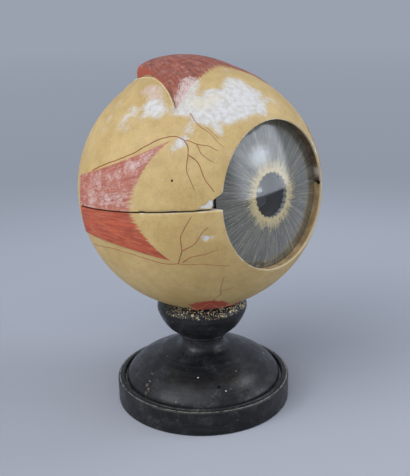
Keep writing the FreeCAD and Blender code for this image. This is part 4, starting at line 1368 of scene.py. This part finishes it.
def iris_material():
    """Grey ground brushed outwards from the pupil, cream round its edge, black at the rim, a
    painted shade to the temple side and a painted highlight on the pupil's edge.
    """
    material, tree = new_material("brushed_iris_paint")
    place = globe_place(tree)
    split = add(tree, "ShaderNodeSeparateXYZ", {0: place})
    flat = add(tree, VECTOR, {0: place, 1: (1, 0, 1)}, operation="MULTIPLY")
    radius = add(tree, VECTOR, {0: flat}, operation="LENGTH").outputs["Value"]
    angle = add(tree, MATH, {0: split.outputs[2], 1: split.outputs[0]}, operation="ARCTAN2")
    cosine = add(tree, MATH, {0: angle}, operation="COSINE")
    sine = add(tree, MATH, {0: angle}, operation="SINE")

    def rays(count, drift, seed, low, high, cover=1.0):
        """Noise drawn out along the radii, with about 2 pi count blotches round the circle."""
        lane = add(tree, "ShaderNodeCombineXYZ", {
            0: add(tree, MATH, {0: cosine, 1: count}, operation="MULTIPLY"),
            1: add(tree, MATH, {0: sine, 1: count}, operation="MULTIPLY"),
            2: add(tree, MATH, {0: radius, 1: drift, 2: seed}, operation="MULTIPLY_ADD")})
        return patches(tree, lane, 1.0, low, high, cover, 2.0, 0.6)

    grey = coats(tree, "#504f49", (rays(14, 0.03, 1.0, 0.35, 0.65), "#62615a"),
                 (rays(45, 0.05, 4.0, 0.48, 0.70, 0.55), "#a5a08e"),
                 (rays(34, 0.04, 8.0, 0.52, 0.74, 0.6), "#3a3a36"))
    cream = coats(tree, "#c6b384", (rays(30, 0.05, 17.0, 0.45, 0.70, 0.6), "#a39162"))
    ragged = add(tree, MATH, {0: rays(26, 0.02, 12.0, 0.30, 0.72), 1: -ring_fray, 2: radius},
                 operation="MULTIPLY_ADD")
    outside = add(tree, RANGE, {"Value": ragged, "From Min": ring_from, "From Max": ring_to})
    # painted shade: the grey darkens towards the temple side
    temple = add(tree, RANGE, {"Value": split.outputs[0], "From Min": painted_shade_from,
                               "From Max": painted_shade_to, "To Max": 0.45})
    rim = add(tree, RANGE, {"Value": radius, "From Min": black_from, "From Max": black_from + 0.4})

    # the plate's edge in the pupil, painted pale grey as a painted highlight against the pupil's
    # shade
    sphere = sphere_of(iris_dome_radius, iris_bulge)
    from_centre = add(tree, VECTOR, {0: place, 1: (0, iris_rim - iris_bulge + sphere, 0)},
                      operation="DISTANCE").outputs["Value"]
    behind = add(tree, RANGE, {"Value": from_centre, "From Min": sphere - 0.12,
                               "From Max": sphere - 0.22})
    in_pupil = add(tree, RANGE, {"Value": radius, "From Min": pupil_cusp + 0.3,
                                 "From Max": pupil_cusp + 0.1})
    wall = add(tree, MATH, {0: behind, 1: in_pupil}, operation="MULTIPLY")
    colour = coats(tree, cream, (outside, grey), (temple, "#33332e"), (rim, "#17181a"),
                   (wall, "#a3a5a6"))
    bump = add(tree, "ShaderNodeBump", {"Height": rays(45, 0.05, 4.0, 0.3, 0.8), "Strength": 0.4,
                                        "Distance": 0.1 * MM})
    surface(tree, Base_Color=colour, Roughness=0.55, Normal=bump)
    return material


dress(iris, "painted_iris", iris_material(), "iris_plate", ["iris_disc"])

# %% [markdown]
# ## Trees that draw strokes
# What repeats by the hundred is left to Geometry Nodes. Three functions serve every tree: one
# starts it with its named inputs, one ends it with real geometry and a material, and one runs it
# on an object and keeps the plain mesh. An input is set by its identifier, found by its name.

# %% Geometry trees


def new_tree(name, *sizes):
    """An empty geometry tree with named inputs, and its input and output nodes."""
    tree = bpy.data.node_groups.new(name, "GeometryNodeTree")
    tree.interface.new_socket("Geometry", in_out="INPUT", socket_type="NodeSocketGeometry")
    for label, kind, value in sizes:
        socket = tree.interface.new_socket(label, in_out="INPUT", socket_type="NodeSocket" + kind)
        socket.default_value = value
    tree.interface.new_socket("Geometry", in_out="OUTPUT", socket_type="NodeSocketGeometry")
    return tree, add(tree, "NodeGroupInput").outputs, add(tree, "NodeGroupOutput")


def finish_tree(tree, last, material, group_output):
    """Ends a tree as the export needs it: no instances, and a material."""
    real = add(tree, "GeometryNodeRealizeInstances", {"Geometry": last})
    painted = add(tree, "GeometryNodeSetMaterial", {"Geometry": real, "Material": material})
    tree.links.new(painted.outputs[0], group_output.inputs[0])


def grow(source, tree, **sizes):
    """Runs a tree on an object and keeps what grows as a plain mesh in its place."""
    modifier = source.modifiers.new("grow", "NODES")
    modifier.node_group = tree
    for item in tree.interface.items_tree:
        if item.in_out == "INPUT" and item.name in sizes:
            modifier[item.identifier] = sizes[item.name]
    return settle(source)


print("trees start with named inputs and end as real geometry")

# %% [markdown]
# The painter drew hundreds of fine strokes outwards over the grey, and those are real: thin wedges
# are scattered over a flat disc, each with a length, a width and a tone of its own, and a formula
# lays them on the dome. Stretched thin and laid flat, a four-sided cone is a stroke.

# %% Brush strokes on the iris
stroke_tones = [(0.0, "#2c2c29"), (0.35, "#55544d"), (0.6, "#807c70"), (0.8, "#b5ab8c"),
                (1.0, "#dccf9f")]
stroke_limit = 35.0        # mm from the axis, where the painter's hand stopped


def stroke_material():
    """Paint whose tone is each stroke's own, a little mottled."""
    material, tree = new_material("iris_brush_strokes")
    tone = add(tree, ATTRIBUTE, attribute_name="tone").outputs["Fac"]
    mottle = patches(tree, globe_place(tree), 1.5, 0.3, 0.7, 0.25)
    shade = add(tree, MATH, {0: tone, 1: mottle}, operation="SUBTRACT")
    colour = add(tree, "ShaderNodeValToRGB", {"Fac": shade}, stops=stroke_tones)
    surface(tree, Base_Color=colour, Roughness=0.5)
    return material


def stroke_tree(material):
    """Thin wedges that point away from the middle of a flat disc, in mm, each with a tone."""
    tree, sizes, end = new_tree("brush_strokes", ("Count", "Int", 100), ("Inner", "Float", 12.0),
                                ("Start Spread", "Float", 10.0), ("Shortest", "Float", 4.0),
                                ("Longest", "Float", 14.0), ("Width", "Float", 0.1),
                                ("Palest", "Float", 1.0), ("Seed", "Int", 0))

    def chance(low, high, salt):
        seed = add(tree, MATH, {0: sizes["Seed"], 1: salt}, operation="ADD")
        return add(tree, "FunctionNodeRandomValue", {2: low, 3: high, 8: seed},
                   data_type="FLOAT").outputs[1]

    index = add(tree, "GeometryNodeInputIndex")
    step = add(tree, MATH, {0: index, 1: chance(0.0, 1.0, 1)}, operation="ADD")
    turn = add(tree, MATH, {0: step, 1: sizes["Count"]}, operation="DIVIDE")
    angle = add(tree, MATH, {0: turn, 1: 2 * math.pi}, operation="MULTIPLY")
    spread = add(tree, MATH, {0: chance(0.0, 1.0, 2), 1: 1.6}, operation="POWER")
    start = add(tree, MATH, {0: spread, 1: sizes["Start Spread"], 2: sizes["Inner"]},
                operation="MULTIPLY_ADD")
    x, y = [add(tree, MATH, {0: start, 1: add(tree, MATH, {0: angle}, operation=wave)},
                operation="MULTIPLY") for wave in ("COSINE", "SINE")]
    place = add(tree, "ShaderNodeCombineXYZ", {0: x, 1: y})
    spots = add(tree, "GeometryNodePoints", {"Count": sizes["Count"], "Position": place})
    wedge = add(tree, "GeometryNodeMeshCone", {"Vertices": 4, "Radius Top": 0.25,
                                               "Radius Bottom": 1.0, "Depth": 1.0})
    heading = add(tree, "ShaderNodeCombineXYZ", {1: math.pi / 2, 2: angle})
    length = chance(sizes["Shortest"], sizes["Longest"], 3)
    width = add(tree, MATH, {0: sizes["Width"], 1: chance(0.6, 1.4, 4)}, operation="MULTIPLY")
    size = add(tree, "ShaderNodeCombineXYZ", {0: 0.05, 1: width, 2: length})
    strokes = add(tree, "GeometryNodeInstanceOnPoints", {"Points": spots, "Instance": wedge,
                                                         "Rotation": heading, "Scale": size})
    toned = add(tree, "GeometryNodeStoreNamedAttribute",
                {"Geometry": strokes, "Name": "tone", "Value": chance(0.0, sizes["Palest"], 5)},
                data_type="FLOAT", domain="INSTANCE")
    finish_tree(tree, toned, material, end)
    return tree


def laid_strokes(name, tree, **sizes):
    """Strokes that grew on a flat disc, bent over the dome of the iris and cut at its rim."""
    strokes = grow(mesh_object(name, [(0, 0, 0)], []), tree, **sizes)
    x, y, out = get_points(strokes).T
    radius = np.hypot(x, y)
    shrink = np.minimum(1, stroke_limit / np.maximum(radius, 1e-6))
    x, y, radius = x * shrink, y * shrink, radius * shrink
    front = iris_rim - dome_height(radius, iris_dome_radius, iris_bulge)
    set_points(strokes, to_stand(np.stack([x, front - out, y], 1)))
    return strokes


stroke_paint = stroke_material()
strokes_tree = stroke_tree(stroke_paint)
for name, kinds in (
        ("iris_fine_strokes", {"Count": 1500, "Inner": 14.5, "Start Spread": 17.0, "Shortest": 3.0,
                               "Longest": 12.0, "Width": 0.085, "Palest": 0.9, "Seed": 3}),
        ("iris_long_strokes", {"Count": 480, "Inner": 12.2, "Start Spread": 5.0, "Shortest": 5.0,
                               "Longest": 17.0, "Width": 0.11, "Palest": 1.35, "Seed": 11})):
    dress(laid_strokes(name, strokes_tree, **kinds), name, stroke_paint, "iris_plate")

# %% [markdown]
# ## Painted vessels
# Fine red-brown vessels branch from the ends of the muscles. Each is drawn as a few view
# pixels, which are met with the globe. Geometry Nodes do the brushwork: they turn the drawn line
# into a curve, make it waver, thin it out towards its end and give it a round section, half sunk
# in the paint. The waver keeps its distance from the globe's centre, so that no line floats.

# %% The brush that follows a path


def brush_material(name, colour, dark):
    """Thin paint from a fine brush, uneven along its line."""
    material, tree = new_material(name)
    place = globe_place(tree)
    tone = coats(tree, colour, (patches(tree, place, 1.8, 0.4, 0.65), dark),
                 (patches(tree, place, 0.6, 0.55, 0.75, 0.5), "#b59a66"))
    surface(tree, Base_Color=tone, Roughness=0.6)
    return material


def vessel_tree(material):
    """A tapering, wavering line of paint along each path of the source mesh, in metres."""
    tree, sizes, end = new_tree("painted_line", ("Width", "Float", 0.0003),
                                ("Waver", "Float", 0.0006), ("Step", "Float", 0.0008),
                                ("Centre", "Vector", (0, 0, 0)), ("Seed", "Int", 0))
    line = add(tree, "GeometryNodeMeshToCurve", {0: sizes["Geometry"]})
    fine = add(tree, "GeometryNodeResampleCurve", {"Curve": line, "Length": sizes["Step"]},
               mode="LENGTH")
    place = add(tree, "GeometryNodeInputPosition")
    apart = add(tree, "ShaderNodeCombineXYZ", {0: sizes["Seed"]})
    shift = add(tree, VECTOR, {0: place, 1: apart}, operation="ADD")
    cloud = add(tree, NOISE, {"Vector": shift, "Scale": 260.0, "Detail": 2.0}).outputs[1]
    centred = add(tree, VECTOR, {0: cloud, 1: (0.5, 0.5, 0.5)}, operation="SUBTRACT")
    push = add(tree, VECTOR, {0: centred, "Scale": sizes["Waver"]}, operation="SCALE")
    out = add(tree, VECTOR, {0: place, 1: sizes["Centre"]}, operation="SUBTRACT")
    reach = add(tree, VECTOR, {0: out}, operation="LENGTH").outputs["Value"]
    pushed = add(tree, VECTOR, {0: out, 1: push}, operation="ADD")
    heading = add(tree, VECTOR, {0: pushed}, operation="NORMALIZE")
    back_on = add(tree, VECTOR, {0: heading, "Scale": reach}, operation="SCALE")
    moved = add(tree, VECTOR, {0: back_on, 1: sizes["Centre"]}, operation="ADD")
    wavy = add(tree, "GeometryNodeSetPosition", {"Geometry": fine, "Position": moved})
    taper = add(tree, "GeometryNodeInputNamedAttribute", {"Name": "taper"}, data_type="FLOAT")
    ring = add(tree, "GeometryNodeCurvePrimitiveCircle", {"Resolution": 6, "Radius": 1.0})
    width = add(tree, MATH, {0: sizes["Width"], 1: taper}, operation="MULTIPLY")
    tube = add(tree, "GeometryNodeCurveToMesh", {"Curve": wavy, "Profile Curve": ring,
                                                 "Scale": width, "Fill Caps": True})
    finish_tree(tree, tube, material, end)
    return tree


print("one brush serves every painted line")

# %% [markdown]
# A drawn line is met with the globe pixel by pixel, filled in, and smoothed by averaging each point
# with its neighbours. It is then sunk as the shell is sunk, so that it lies on the paint. All the
# lines on one body make one mesh, so that they part along the seam with their own half.

# %% Lines over the globe
path_detail, smoothing_rounds = 12, 30        # points for each drawn pixel, and passes


def drawn_line(pixels, start, finish, lift=0.0):
    """A smooth path over the globe through view pixels, with its width at both ends."""
    corners = np.array([on_globe(px, py, globe_radius) for px, py in pixels])
    steps = np.linspace(0, 1, len(corners))
    share = np.linspace(0, 1, path_detail * len(corners))
    path = np.stack([np.interp(share, steps, corners[:, i]) for i in range(3)], 1)
    for _ in range(smoothing_rounds):
        path[1:-1] = 0.25 * path[:-2] + 0.5 * path[1:-1] + 0.25 * path[2:]
    path /= np.linalg.norm(path, axis=1)[:, None]
    path *= (globe_radius + lift - sunk_by(path * globe_radius))[:, None]
    return path, start + share * (finish - start)


def painted_lines(name, lines, tree, body, paint, **sizes):
    """Draws all the lines of one body as one mesh."""
    points, edges, taper = [], [], []
    for path, widths in lines:
        first = len(taper)
        points.append(path)
        taper += list(widths)
        edges += [(first + i, first + i + 1) for i in range(len(widths) - 1)]
    mesh = bpy.data.meshes.new(name)
    mesh.from_pydata([tuple(point) for point in to_stand(np.concatenate(points))], edges, [])
    thing = linked(name, mesh)
    set_attribute(thing, "taper", taper)
    grow(thing, tree, Centre=tuple(to_stand([0, 0, 0])[0]), **sizes)
    make_outward(thing)
    return dress(thing, name, paint, body, crease=80)


print("smoothed", smoothing_rounds, "times")

# %% [markdown]
# A vessel is a row of view pixels, and its width at both ends as a share of the brush's. A branch
# starts at a pixel of its stem, so that the two join.

# %% Vessels of the temple side
upper_vessels = [
    ([(92, 170.6), (101, 166), (112, 162), (130.6, 155), (147.6, 145), (162, 138), (175.4, 135.4),
      (184, 140)], 1.0, 0.8),
    ([(184, 140), (188, 147), (188, 155), (185.7, 170.6), (191, 182.7), (194, 190)], 1.0, 0.5),
    ([(188, 155), (194, 159), (198.4, 163), (204.5, 179), (210, 186), (214, 192)], 0.95, 0.6),
    ([(186, 140), (191, 141.5), (197, 144.5), (209, 146), (214, 149), (218, 151)], 0.8, 0.4),
    ([(197, 144.5), (199, 150), (202, 155), (209, 160), (215, 163)], 0.7, 0.35),
    ([(190, 113), (195, 121), (201, 128), (210.6, 133), (216.6, 141.5), (224, 147.6)], 0.6, 0.35),
    ([(206, 127), (213, 133), (219, 139)], 0.4, 0.3),
]
lower_vessels = [
    ([(93, 243), (110, 247), (130, 253), (150, 260), (165, 264), (178, 264)], 0.55, 0.7),
    ([(178, 264), (178.5, 261.5), (182, 251), (181, 244), (179.7, 237), (185, 227.5), (189, 221),
      (191, 216.6)], 0.9, 0.5),
    ([(182, 251), (188, 248), (195, 244.5), (199.7, 236), (203, 231), (208, 227.5)], 0.8, 0.45),
    ([(182.7, 262.7), (187, 259), (192.4, 256.6), (200, 255.5), (207, 254), (213, 251),
      (218, 249.4)], 0.8, 0.4),
    ([(178, 264), (191, 265), (199, 264), (209, 264.5), (219, 265.8), (229, 265.7)], 0.5, 0.35),
    ([(224, 277), (222, 284), (220, 290.5), (222, 294), (217, 297), (213, 300)], 0.5, 0.6),
    ([(220, 290.5), (227, 290), (233, 287)], 0.45, 0.3),
]
vessel_paint = brush_material("vessel_distemper", "#a0603f", "#86523a")
painted_line = vessel_tree(vessel_paint)
for name, vessels, body in (("painted_vessels_upper", upper_vessels, "globe_upper"),
                            ("painted_vessels_lower", lower_vessels, "globe_lower")):
    painted_lines(name, [drawn_line(*vessel) for vessel in vessels], painted_line, body,
                  vessel_paint, Width=0.00026, Waver=0.0007)

# %% [markdown]
# A pale line runs round the front of the tendon fan's rim, a painted highlight on its lip, and a
# dark line lies in the step below it, a painted shadow. They are drawn with the same brush in two
# other colours.

# %% The fan's rim
rim_pixels = [(136.5, 80), (143, 78), (150, 77.2), (157, 79), (163, 83), (168, 89.5), (171.5, 96),
              (174, 102), (176, 108)]
# a painted shadow in the step below the fan's rim, and a painted highlight on its lip
painted_step_shadow, painted_lip_highlight = [brush_material(name, colour, dark) for name, colour, dark in (
    ("painted_shadow_in_the_step", "#6d4a33", "#8a6440"), ("painted_highlight_on_the_lip", "#dccfae", "#c9b588"))]
for name, paint, shift, width in (("fan_step_shadow_line", painted_step_shadow, 0.0, 0.00026),
                                  ("fan_lip_highlight_line", painted_lip_highlight, 1.5, 0.00030)):
    pixels = [(px - shift, py + shift) for px, py in rim_pixels]
    painted_lines(name, [drawn_line(pixels, 0.9, 0.7, fan_rise)], vessel_tree(paint), "globe_upper",
                  paint, Width=width, Waver=0.0004)

# %% [markdown]
# The nose side is painted like the temple side, so its vessels are the temple side's, mirrored in
# the globe's middle plane. They are thinned a little, because that side has no drawing to follow.

# %% Vessels of the nose side


def mirrored(line):
    """A line in the globe's middle plane's mirror, drawn thinner."""
    path, widths = line
    return path * (-1, 1, 1), widths * 0.8


for name, vessels, body in (("nose_side_vessels_upper", upper_vessels[1:5], "globe_upper"),
                            ("nose_side_vessels_lower", lower_vessels[1:5], "globe_lower")):
    painted_lines(name, [mirrored(drawn_line(*vessel)) for vessel in vessels], painted_line, body,
                  vessel_paint, Width=0.00026, Waver=0.0009, Seed=7)

# %% [markdown]
# ## The ebonised stand
# Turned wood, stained black and shellacked, is never one black. The lathe left fine rings, hands
# rubbed the shellac grey in places, and chips show paint of other colours. Pale rings on the foot's
# beads are painted highlights. The materials go straight on to the CAD nodes, which already have
# the turned form. Masks place what belongs in one spot: a mark that a view pixel shows, or a band
# between two heights.

# %% Masks


def at_pixel(tree, place, px, py, node, reach, softness=0.4):
    """A mask, 1 round the spot of a node that a view pixel shows, 0 beyond its reach in mm."""
    centre = tuple(on_node(px, py, node))
    away = add(tree, VECTOR, {0: place, 1: centre}, operation="DISTANCE").outputs["Value"]
    return add(tree, RANGE, {"Value": away, "From Min": reach * MM,
                             "From Max": reach * softness * MM}, interpolation_type="SMOOTHSTEP")


def between(tree, value, low, high, soft):
    """A mask, 1 between two values."""
    rise, fall = [add(tree, RANGE, {"Value": value, "From Min": edge - inwards,
                                    "From Max": edge + inwards})
                  for edge, inwards in ((low, soft), (high, -soft))]
    return add(tree, MATH, {0: rise, 1: fall}, operation="MULTIPLY")


print("masks: at a pixel and between two heights")

# %% [markdown]
# Each flaw of the shellac has its own size: broad bloom of about 18 mm, rubbed places of 9 mm,
# scratches that run round, because the wood was polished on the lathe, and dust in the grain. The
# collar is speckled in front with the paints of the globe, and pale rings along the beads of the
# foot are painted highlights.

# %% Black shellac
foot_marks = [             # view pixel, radius in mm, colour
    # the first mark, black, is a painted shade for a small hole in the foot
    (218.9, 387, 1.4, "#030303"), (198, 377.7, 0.5, "#d5d3cc"), (226, 391, 0.5, "#cfccc4"),
    (147, 385, 1.3, "#5a5040"), (148.5, 389, 0.9, "#6b5c44"), (146, 393, 1.2, "#4d443a"),
    (236, 371, 0.35, "#b9b6ae"), (176, 402, 0.35, "#a9a69e")]
specks = [                 # size in mm, the noise levels it shows between, colour
    (1.8, 0.55, 0.60, "#7d6f4e"), (1.3, 0.57, 0.61, "#c9b98a"), (1.1, 0.64, 0.67, "#b5654a"),
    (0.9, 0.60, 0.63, "#e0dccf")]


def shellac_material(name, node, speck_heights, painted_highlight_radii=(), marks=()):
    """Ebonised turned wood, with paint specks between two heights in mm, and pale rings painted as
    highlights at the given radii.
    """
    material, tree = new_material(name)
    position = add(tree, "ShaderNodeNewGeometry").outputs["Position"]
    place = add(tree, VECTOR, {0: position, "Scale": 1 / MM}, operation="SCALE").outputs[0]
    split = add(tree, "ShaderNodeSeparateXYZ", {0: place})
    turned, hair, flat = [add(tree, VECTOR, {0: place, 1: stretch}, operation="MULTIPLY")
                          for stretch in ((0.04, 0.04, 3.0), (0.25, 0.25, 2.2), (1, 1, 0))]
    lathe = add(tree, NOISE, {"Vector": turned, "Scale": 1.0, "Detail": 3.0, "Roughness": 0.6})
    rings = add(tree, RANGE, {"Value": lathe, "From Min": 0.5, "From Max": 0.75})
    rubbed, scratches = [
        add(tree, MATH, {0: broad, 1: fine}, operation="MULTIPLY") for broad, fine in (
            (patches(tree, place, 9.0, 0.45, 0.75), patches(tree, place, 1.3, 0.35, 0.7)),
            (patches(tree, place, 7.0, 0.45, 0.6), patches(tree, hair, 1.6, 0.66, 0.70)))]
    colour = coats(tree, "#17181a", (patches(tree, place, 18.0, 0.35, 0.7), "#222326"),
                   (rings, "#2c2d30"), (rubbed, "#46474a"), (scratches, "#7d7b76"),
                   (patches(tree, place, 0.55, 0.66, 0.72), "#5b564c"))

    radius = add(tree, VECTOR, {0: flat}, operation="LENGTH").outputs["Value"]
    # painted highlights: a pale ring at each given radius, where the foot's beads catch the light
    for middle in painted_highlight_radii:
        worn = add(tree, MATH, {0: between(tree, radius, middle - 0.25, middle + 0.25, 0.2),
                                1: patches(tree, place, 3.0, 0.30, 0.6)}, operation="MULTIPLY")
        colour = coats(tree, colour, (worn, "#8d8a83"))
    front = add(tree, RANGE, {"Value": split.outputs["Y"], "From Min": 6.0, "From Max": -14.0})
    band = add(tree, MATH, {0: between(tree, split.outputs["Z"], *speck_heights, 0.6), 1: front},
               operation="MULTIPLY")
    for size, low, high, speck in specks:
        spots = add(tree, MATH, {0: patches(tree, place, size, low, high), 1: band},
                    operation="MULTIPLY")
        colour = coats(tree, colour, (spots, speck))
    for px, py, reach, paint in marks:
        colour = coats(tree, colour, (at_pixel(tree, position, px, py, node, reach), paint))

    dull = add(tree, RANGE, {"Value": patches(tree, place, 4.0, 0.3, 0.7), "To Min": 0.24,
                             "To Max": 0.40})
    relief = add(tree, "ShaderNodeBump", {"Height": lathe, "Strength": 0.25, "Distance": 0.2 * MM})
    surface(tree, Base_Color=colour, Roughness=dull, Specular_IOR_Level=0.32, Normal=relief)
    return material


paint_nodes(shellac_material("black_shellac_foot", "stand_foot", (60, 61), (45.2, 41.7),
                             foot_marks), "stand_foot")
paint_nodes(shellac_material("black_shellac_collar", "stand_collar", (52.6, 58.5)),
            "stand_collar")

# %% [markdown]
# ## What the closed model hides
# The linings, the fittings and the nerve get the same treatment: glue paint that pooled and dried
# unevenly under the brush, bare beech with its streaks, and metal that air has browned.

# %% Brushed paint, old metal and bare wood


def brushed_material(name, ground, streak, blot, rough, size=6.0):
    """Glue paint in one colour, brushed on, with blots and chafed high spots."""
    material, tree = new_material(name)
    place = globe_place(tree)
    stretched = add(tree, VECTOR, {0: place, 1: (1.0, 0.25, 1.0)}, operation="MULTIPLY")
    colour = coats(tree, ground, (patches(tree, stretched, size, 0.35, 0.7), streak),
                   (patches(tree, place, size / 3, 0.5, 0.75, 0.7), blot),
                   (patches(tree, place, size / 9, 0.6, 0.8, 0.4), streak))
    relief = add(tree, "ShaderNodeBump", {"Height": patches(tree, stretched, size / 8, 0.2, 0.8),
                                          "Strength": 0.2, "Distance": 0.2 * MM})
    surface(tree, Base_Color=colour, Roughness=rough, Normal=relief)
    return material


def metal_material(name, bright, brown, metallic, rough):
    """Metal that air has dulled, with the bright metal showing where it is handled."""
    material, tree = new_material(name)
    place = globe_place(tree)
    colour = coats(tree, brown, (patches(tree, place, 2.2, 0.40, 0.62), bright),
                   (patches(tree, place, 0.5, 0.62, 0.72, 0.6), "#3a2f22"))
    worn = add(tree, RANGE, {"Value": patches(tree, place, 0.7, 0.3, 0.7), "To Min": rough - 0.1,
                             "To Max": rough + 0.15})
    surface(tree, Base_Color=colour, Metallic=metallic, Roughness=worn)
    return material


def nerve_material(name):
    """Cream glue paint, with a red-brown ring painted where the cut nerve meets the globe."""
    material, tree = new_material(name)
    place = globe_place(tree)
    split = add(tree, "ShaderNodeSeparateXYZ", {0: place})
    ring = between(tree, split.outputs["Y"], globe_radius - 1.0, globe_radius + 0.8, 0.5)
    colour = coats(tree, "#d8c48f", (patches(tree, place, 5.0, 0.4, 0.7), "#c6ad74"),
                   (patches(tree, place, 1.0, 0.55, 0.75, 0.6), "#e7dab2"), (ring, "#a5694a"))
    surface(tree, Base_Color=colour, Roughness=0.62)
    return material


paint_nodes(metal_material("iron_dull", "#8a8682", "#4c4744", 0.8, 0.45), "pivot_pin")
paint_nodes(metal_material("brass_browned", "#b98f4a", "#7d5f33", 0.85, 0.38),
            "pivot_bush", "catch_screw", "catch_pin", "catch_hook")
paint_nodes(nerve_material("nerve_paint_cream"), "optic_nerve")
paint_nodes(brushed_material("bare_beech", "#c4a271", "#b08c5c", "#d3b588", 0.7, 1.5),
            "seam_dowels")
paint_nodes(brushed_material("choroid_glue_paint", "#2e1d15", "#3c281d", "#1d120d", 0.6),
            "choroid_lower", "choroid_upper")
paint_nodes(brushed_material("retina_glue_paint", "#d9a483", "#e4b797", "#c58a6a", 0.55),
            "retina_lower", "retina_upper")
paint_nodes(brushed_material("ciliary_glue_paint", "#1d1410", "#35261e", "#0e0908", 0.5, 2.5),
            "ciliary_body_lower", "ciliary_body_upper")

# %% [markdown]
# ## Glass
# The cornea is a thin watch-glass dome of crown glass, ground true, so it is almost smooth. The
# lens and the vitreous body are of soda glass, which bends light about as much: the lens is dulled
# by polishing, and the vitreous body was blown. Lamps have to reach the iris behind the cornea, so
# for shadow rays the glass steps aside.

# %% Cornea, lens and vitreous body
glass_ior = 1.52


def glass_material(name, tint, roughness):
    """Clear glass that casts no dark shadow."""
    material, tree = new_material(name)
    shader = add(tree, "ShaderNodeBsdfPrincipled", {
        "Base Color": tint, "Roughness": roughness, "IOR": glass_ior, "Transmission Weight": 1.0})
    clear = add(tree, "ShaderNodeBsdfTransparent", {"Color": tint})
    lamp_ray = add(tree, "ShaderNodeLightPath").outputs["Is Shadow Ray"]
    mixed = add(tree, "ShaderNodeMixShader", {0: lamp_ray, 1: shader, 2: clear})
    add(tree, "ShaderNodeOutputMaterial", {"Surface": mixed})
    return material


cornea_wall, cornea_bulge = 1.3, 6.0
cornea_radius = opening_radius - 0.3        # it is pushed into the mouth with this much play
cornea_rim = groove_front - cornea_wall     # its back rests on the iris plate
cornea = dished_plate("glass", lambda turn: np.full(len(turn), 1e-4), cornea_radius,
                      cornea_radius, cornea_rim, cornea_bulge, cornea_wall, 40, 192)
dress(cornea, "glass_cornea", glass_material("crown_glass", "#fbfcfc", 0.02), "cornea_glass",
      ["cornea"], 50.0)
paint_nodes(glass_material("polished_soda_glass", "#f2f7f5", 0.10), "lens")
paint_nodes(glass_material("blown_soda_glass", "#f4f8f6", 0.04), "vitreous_body")
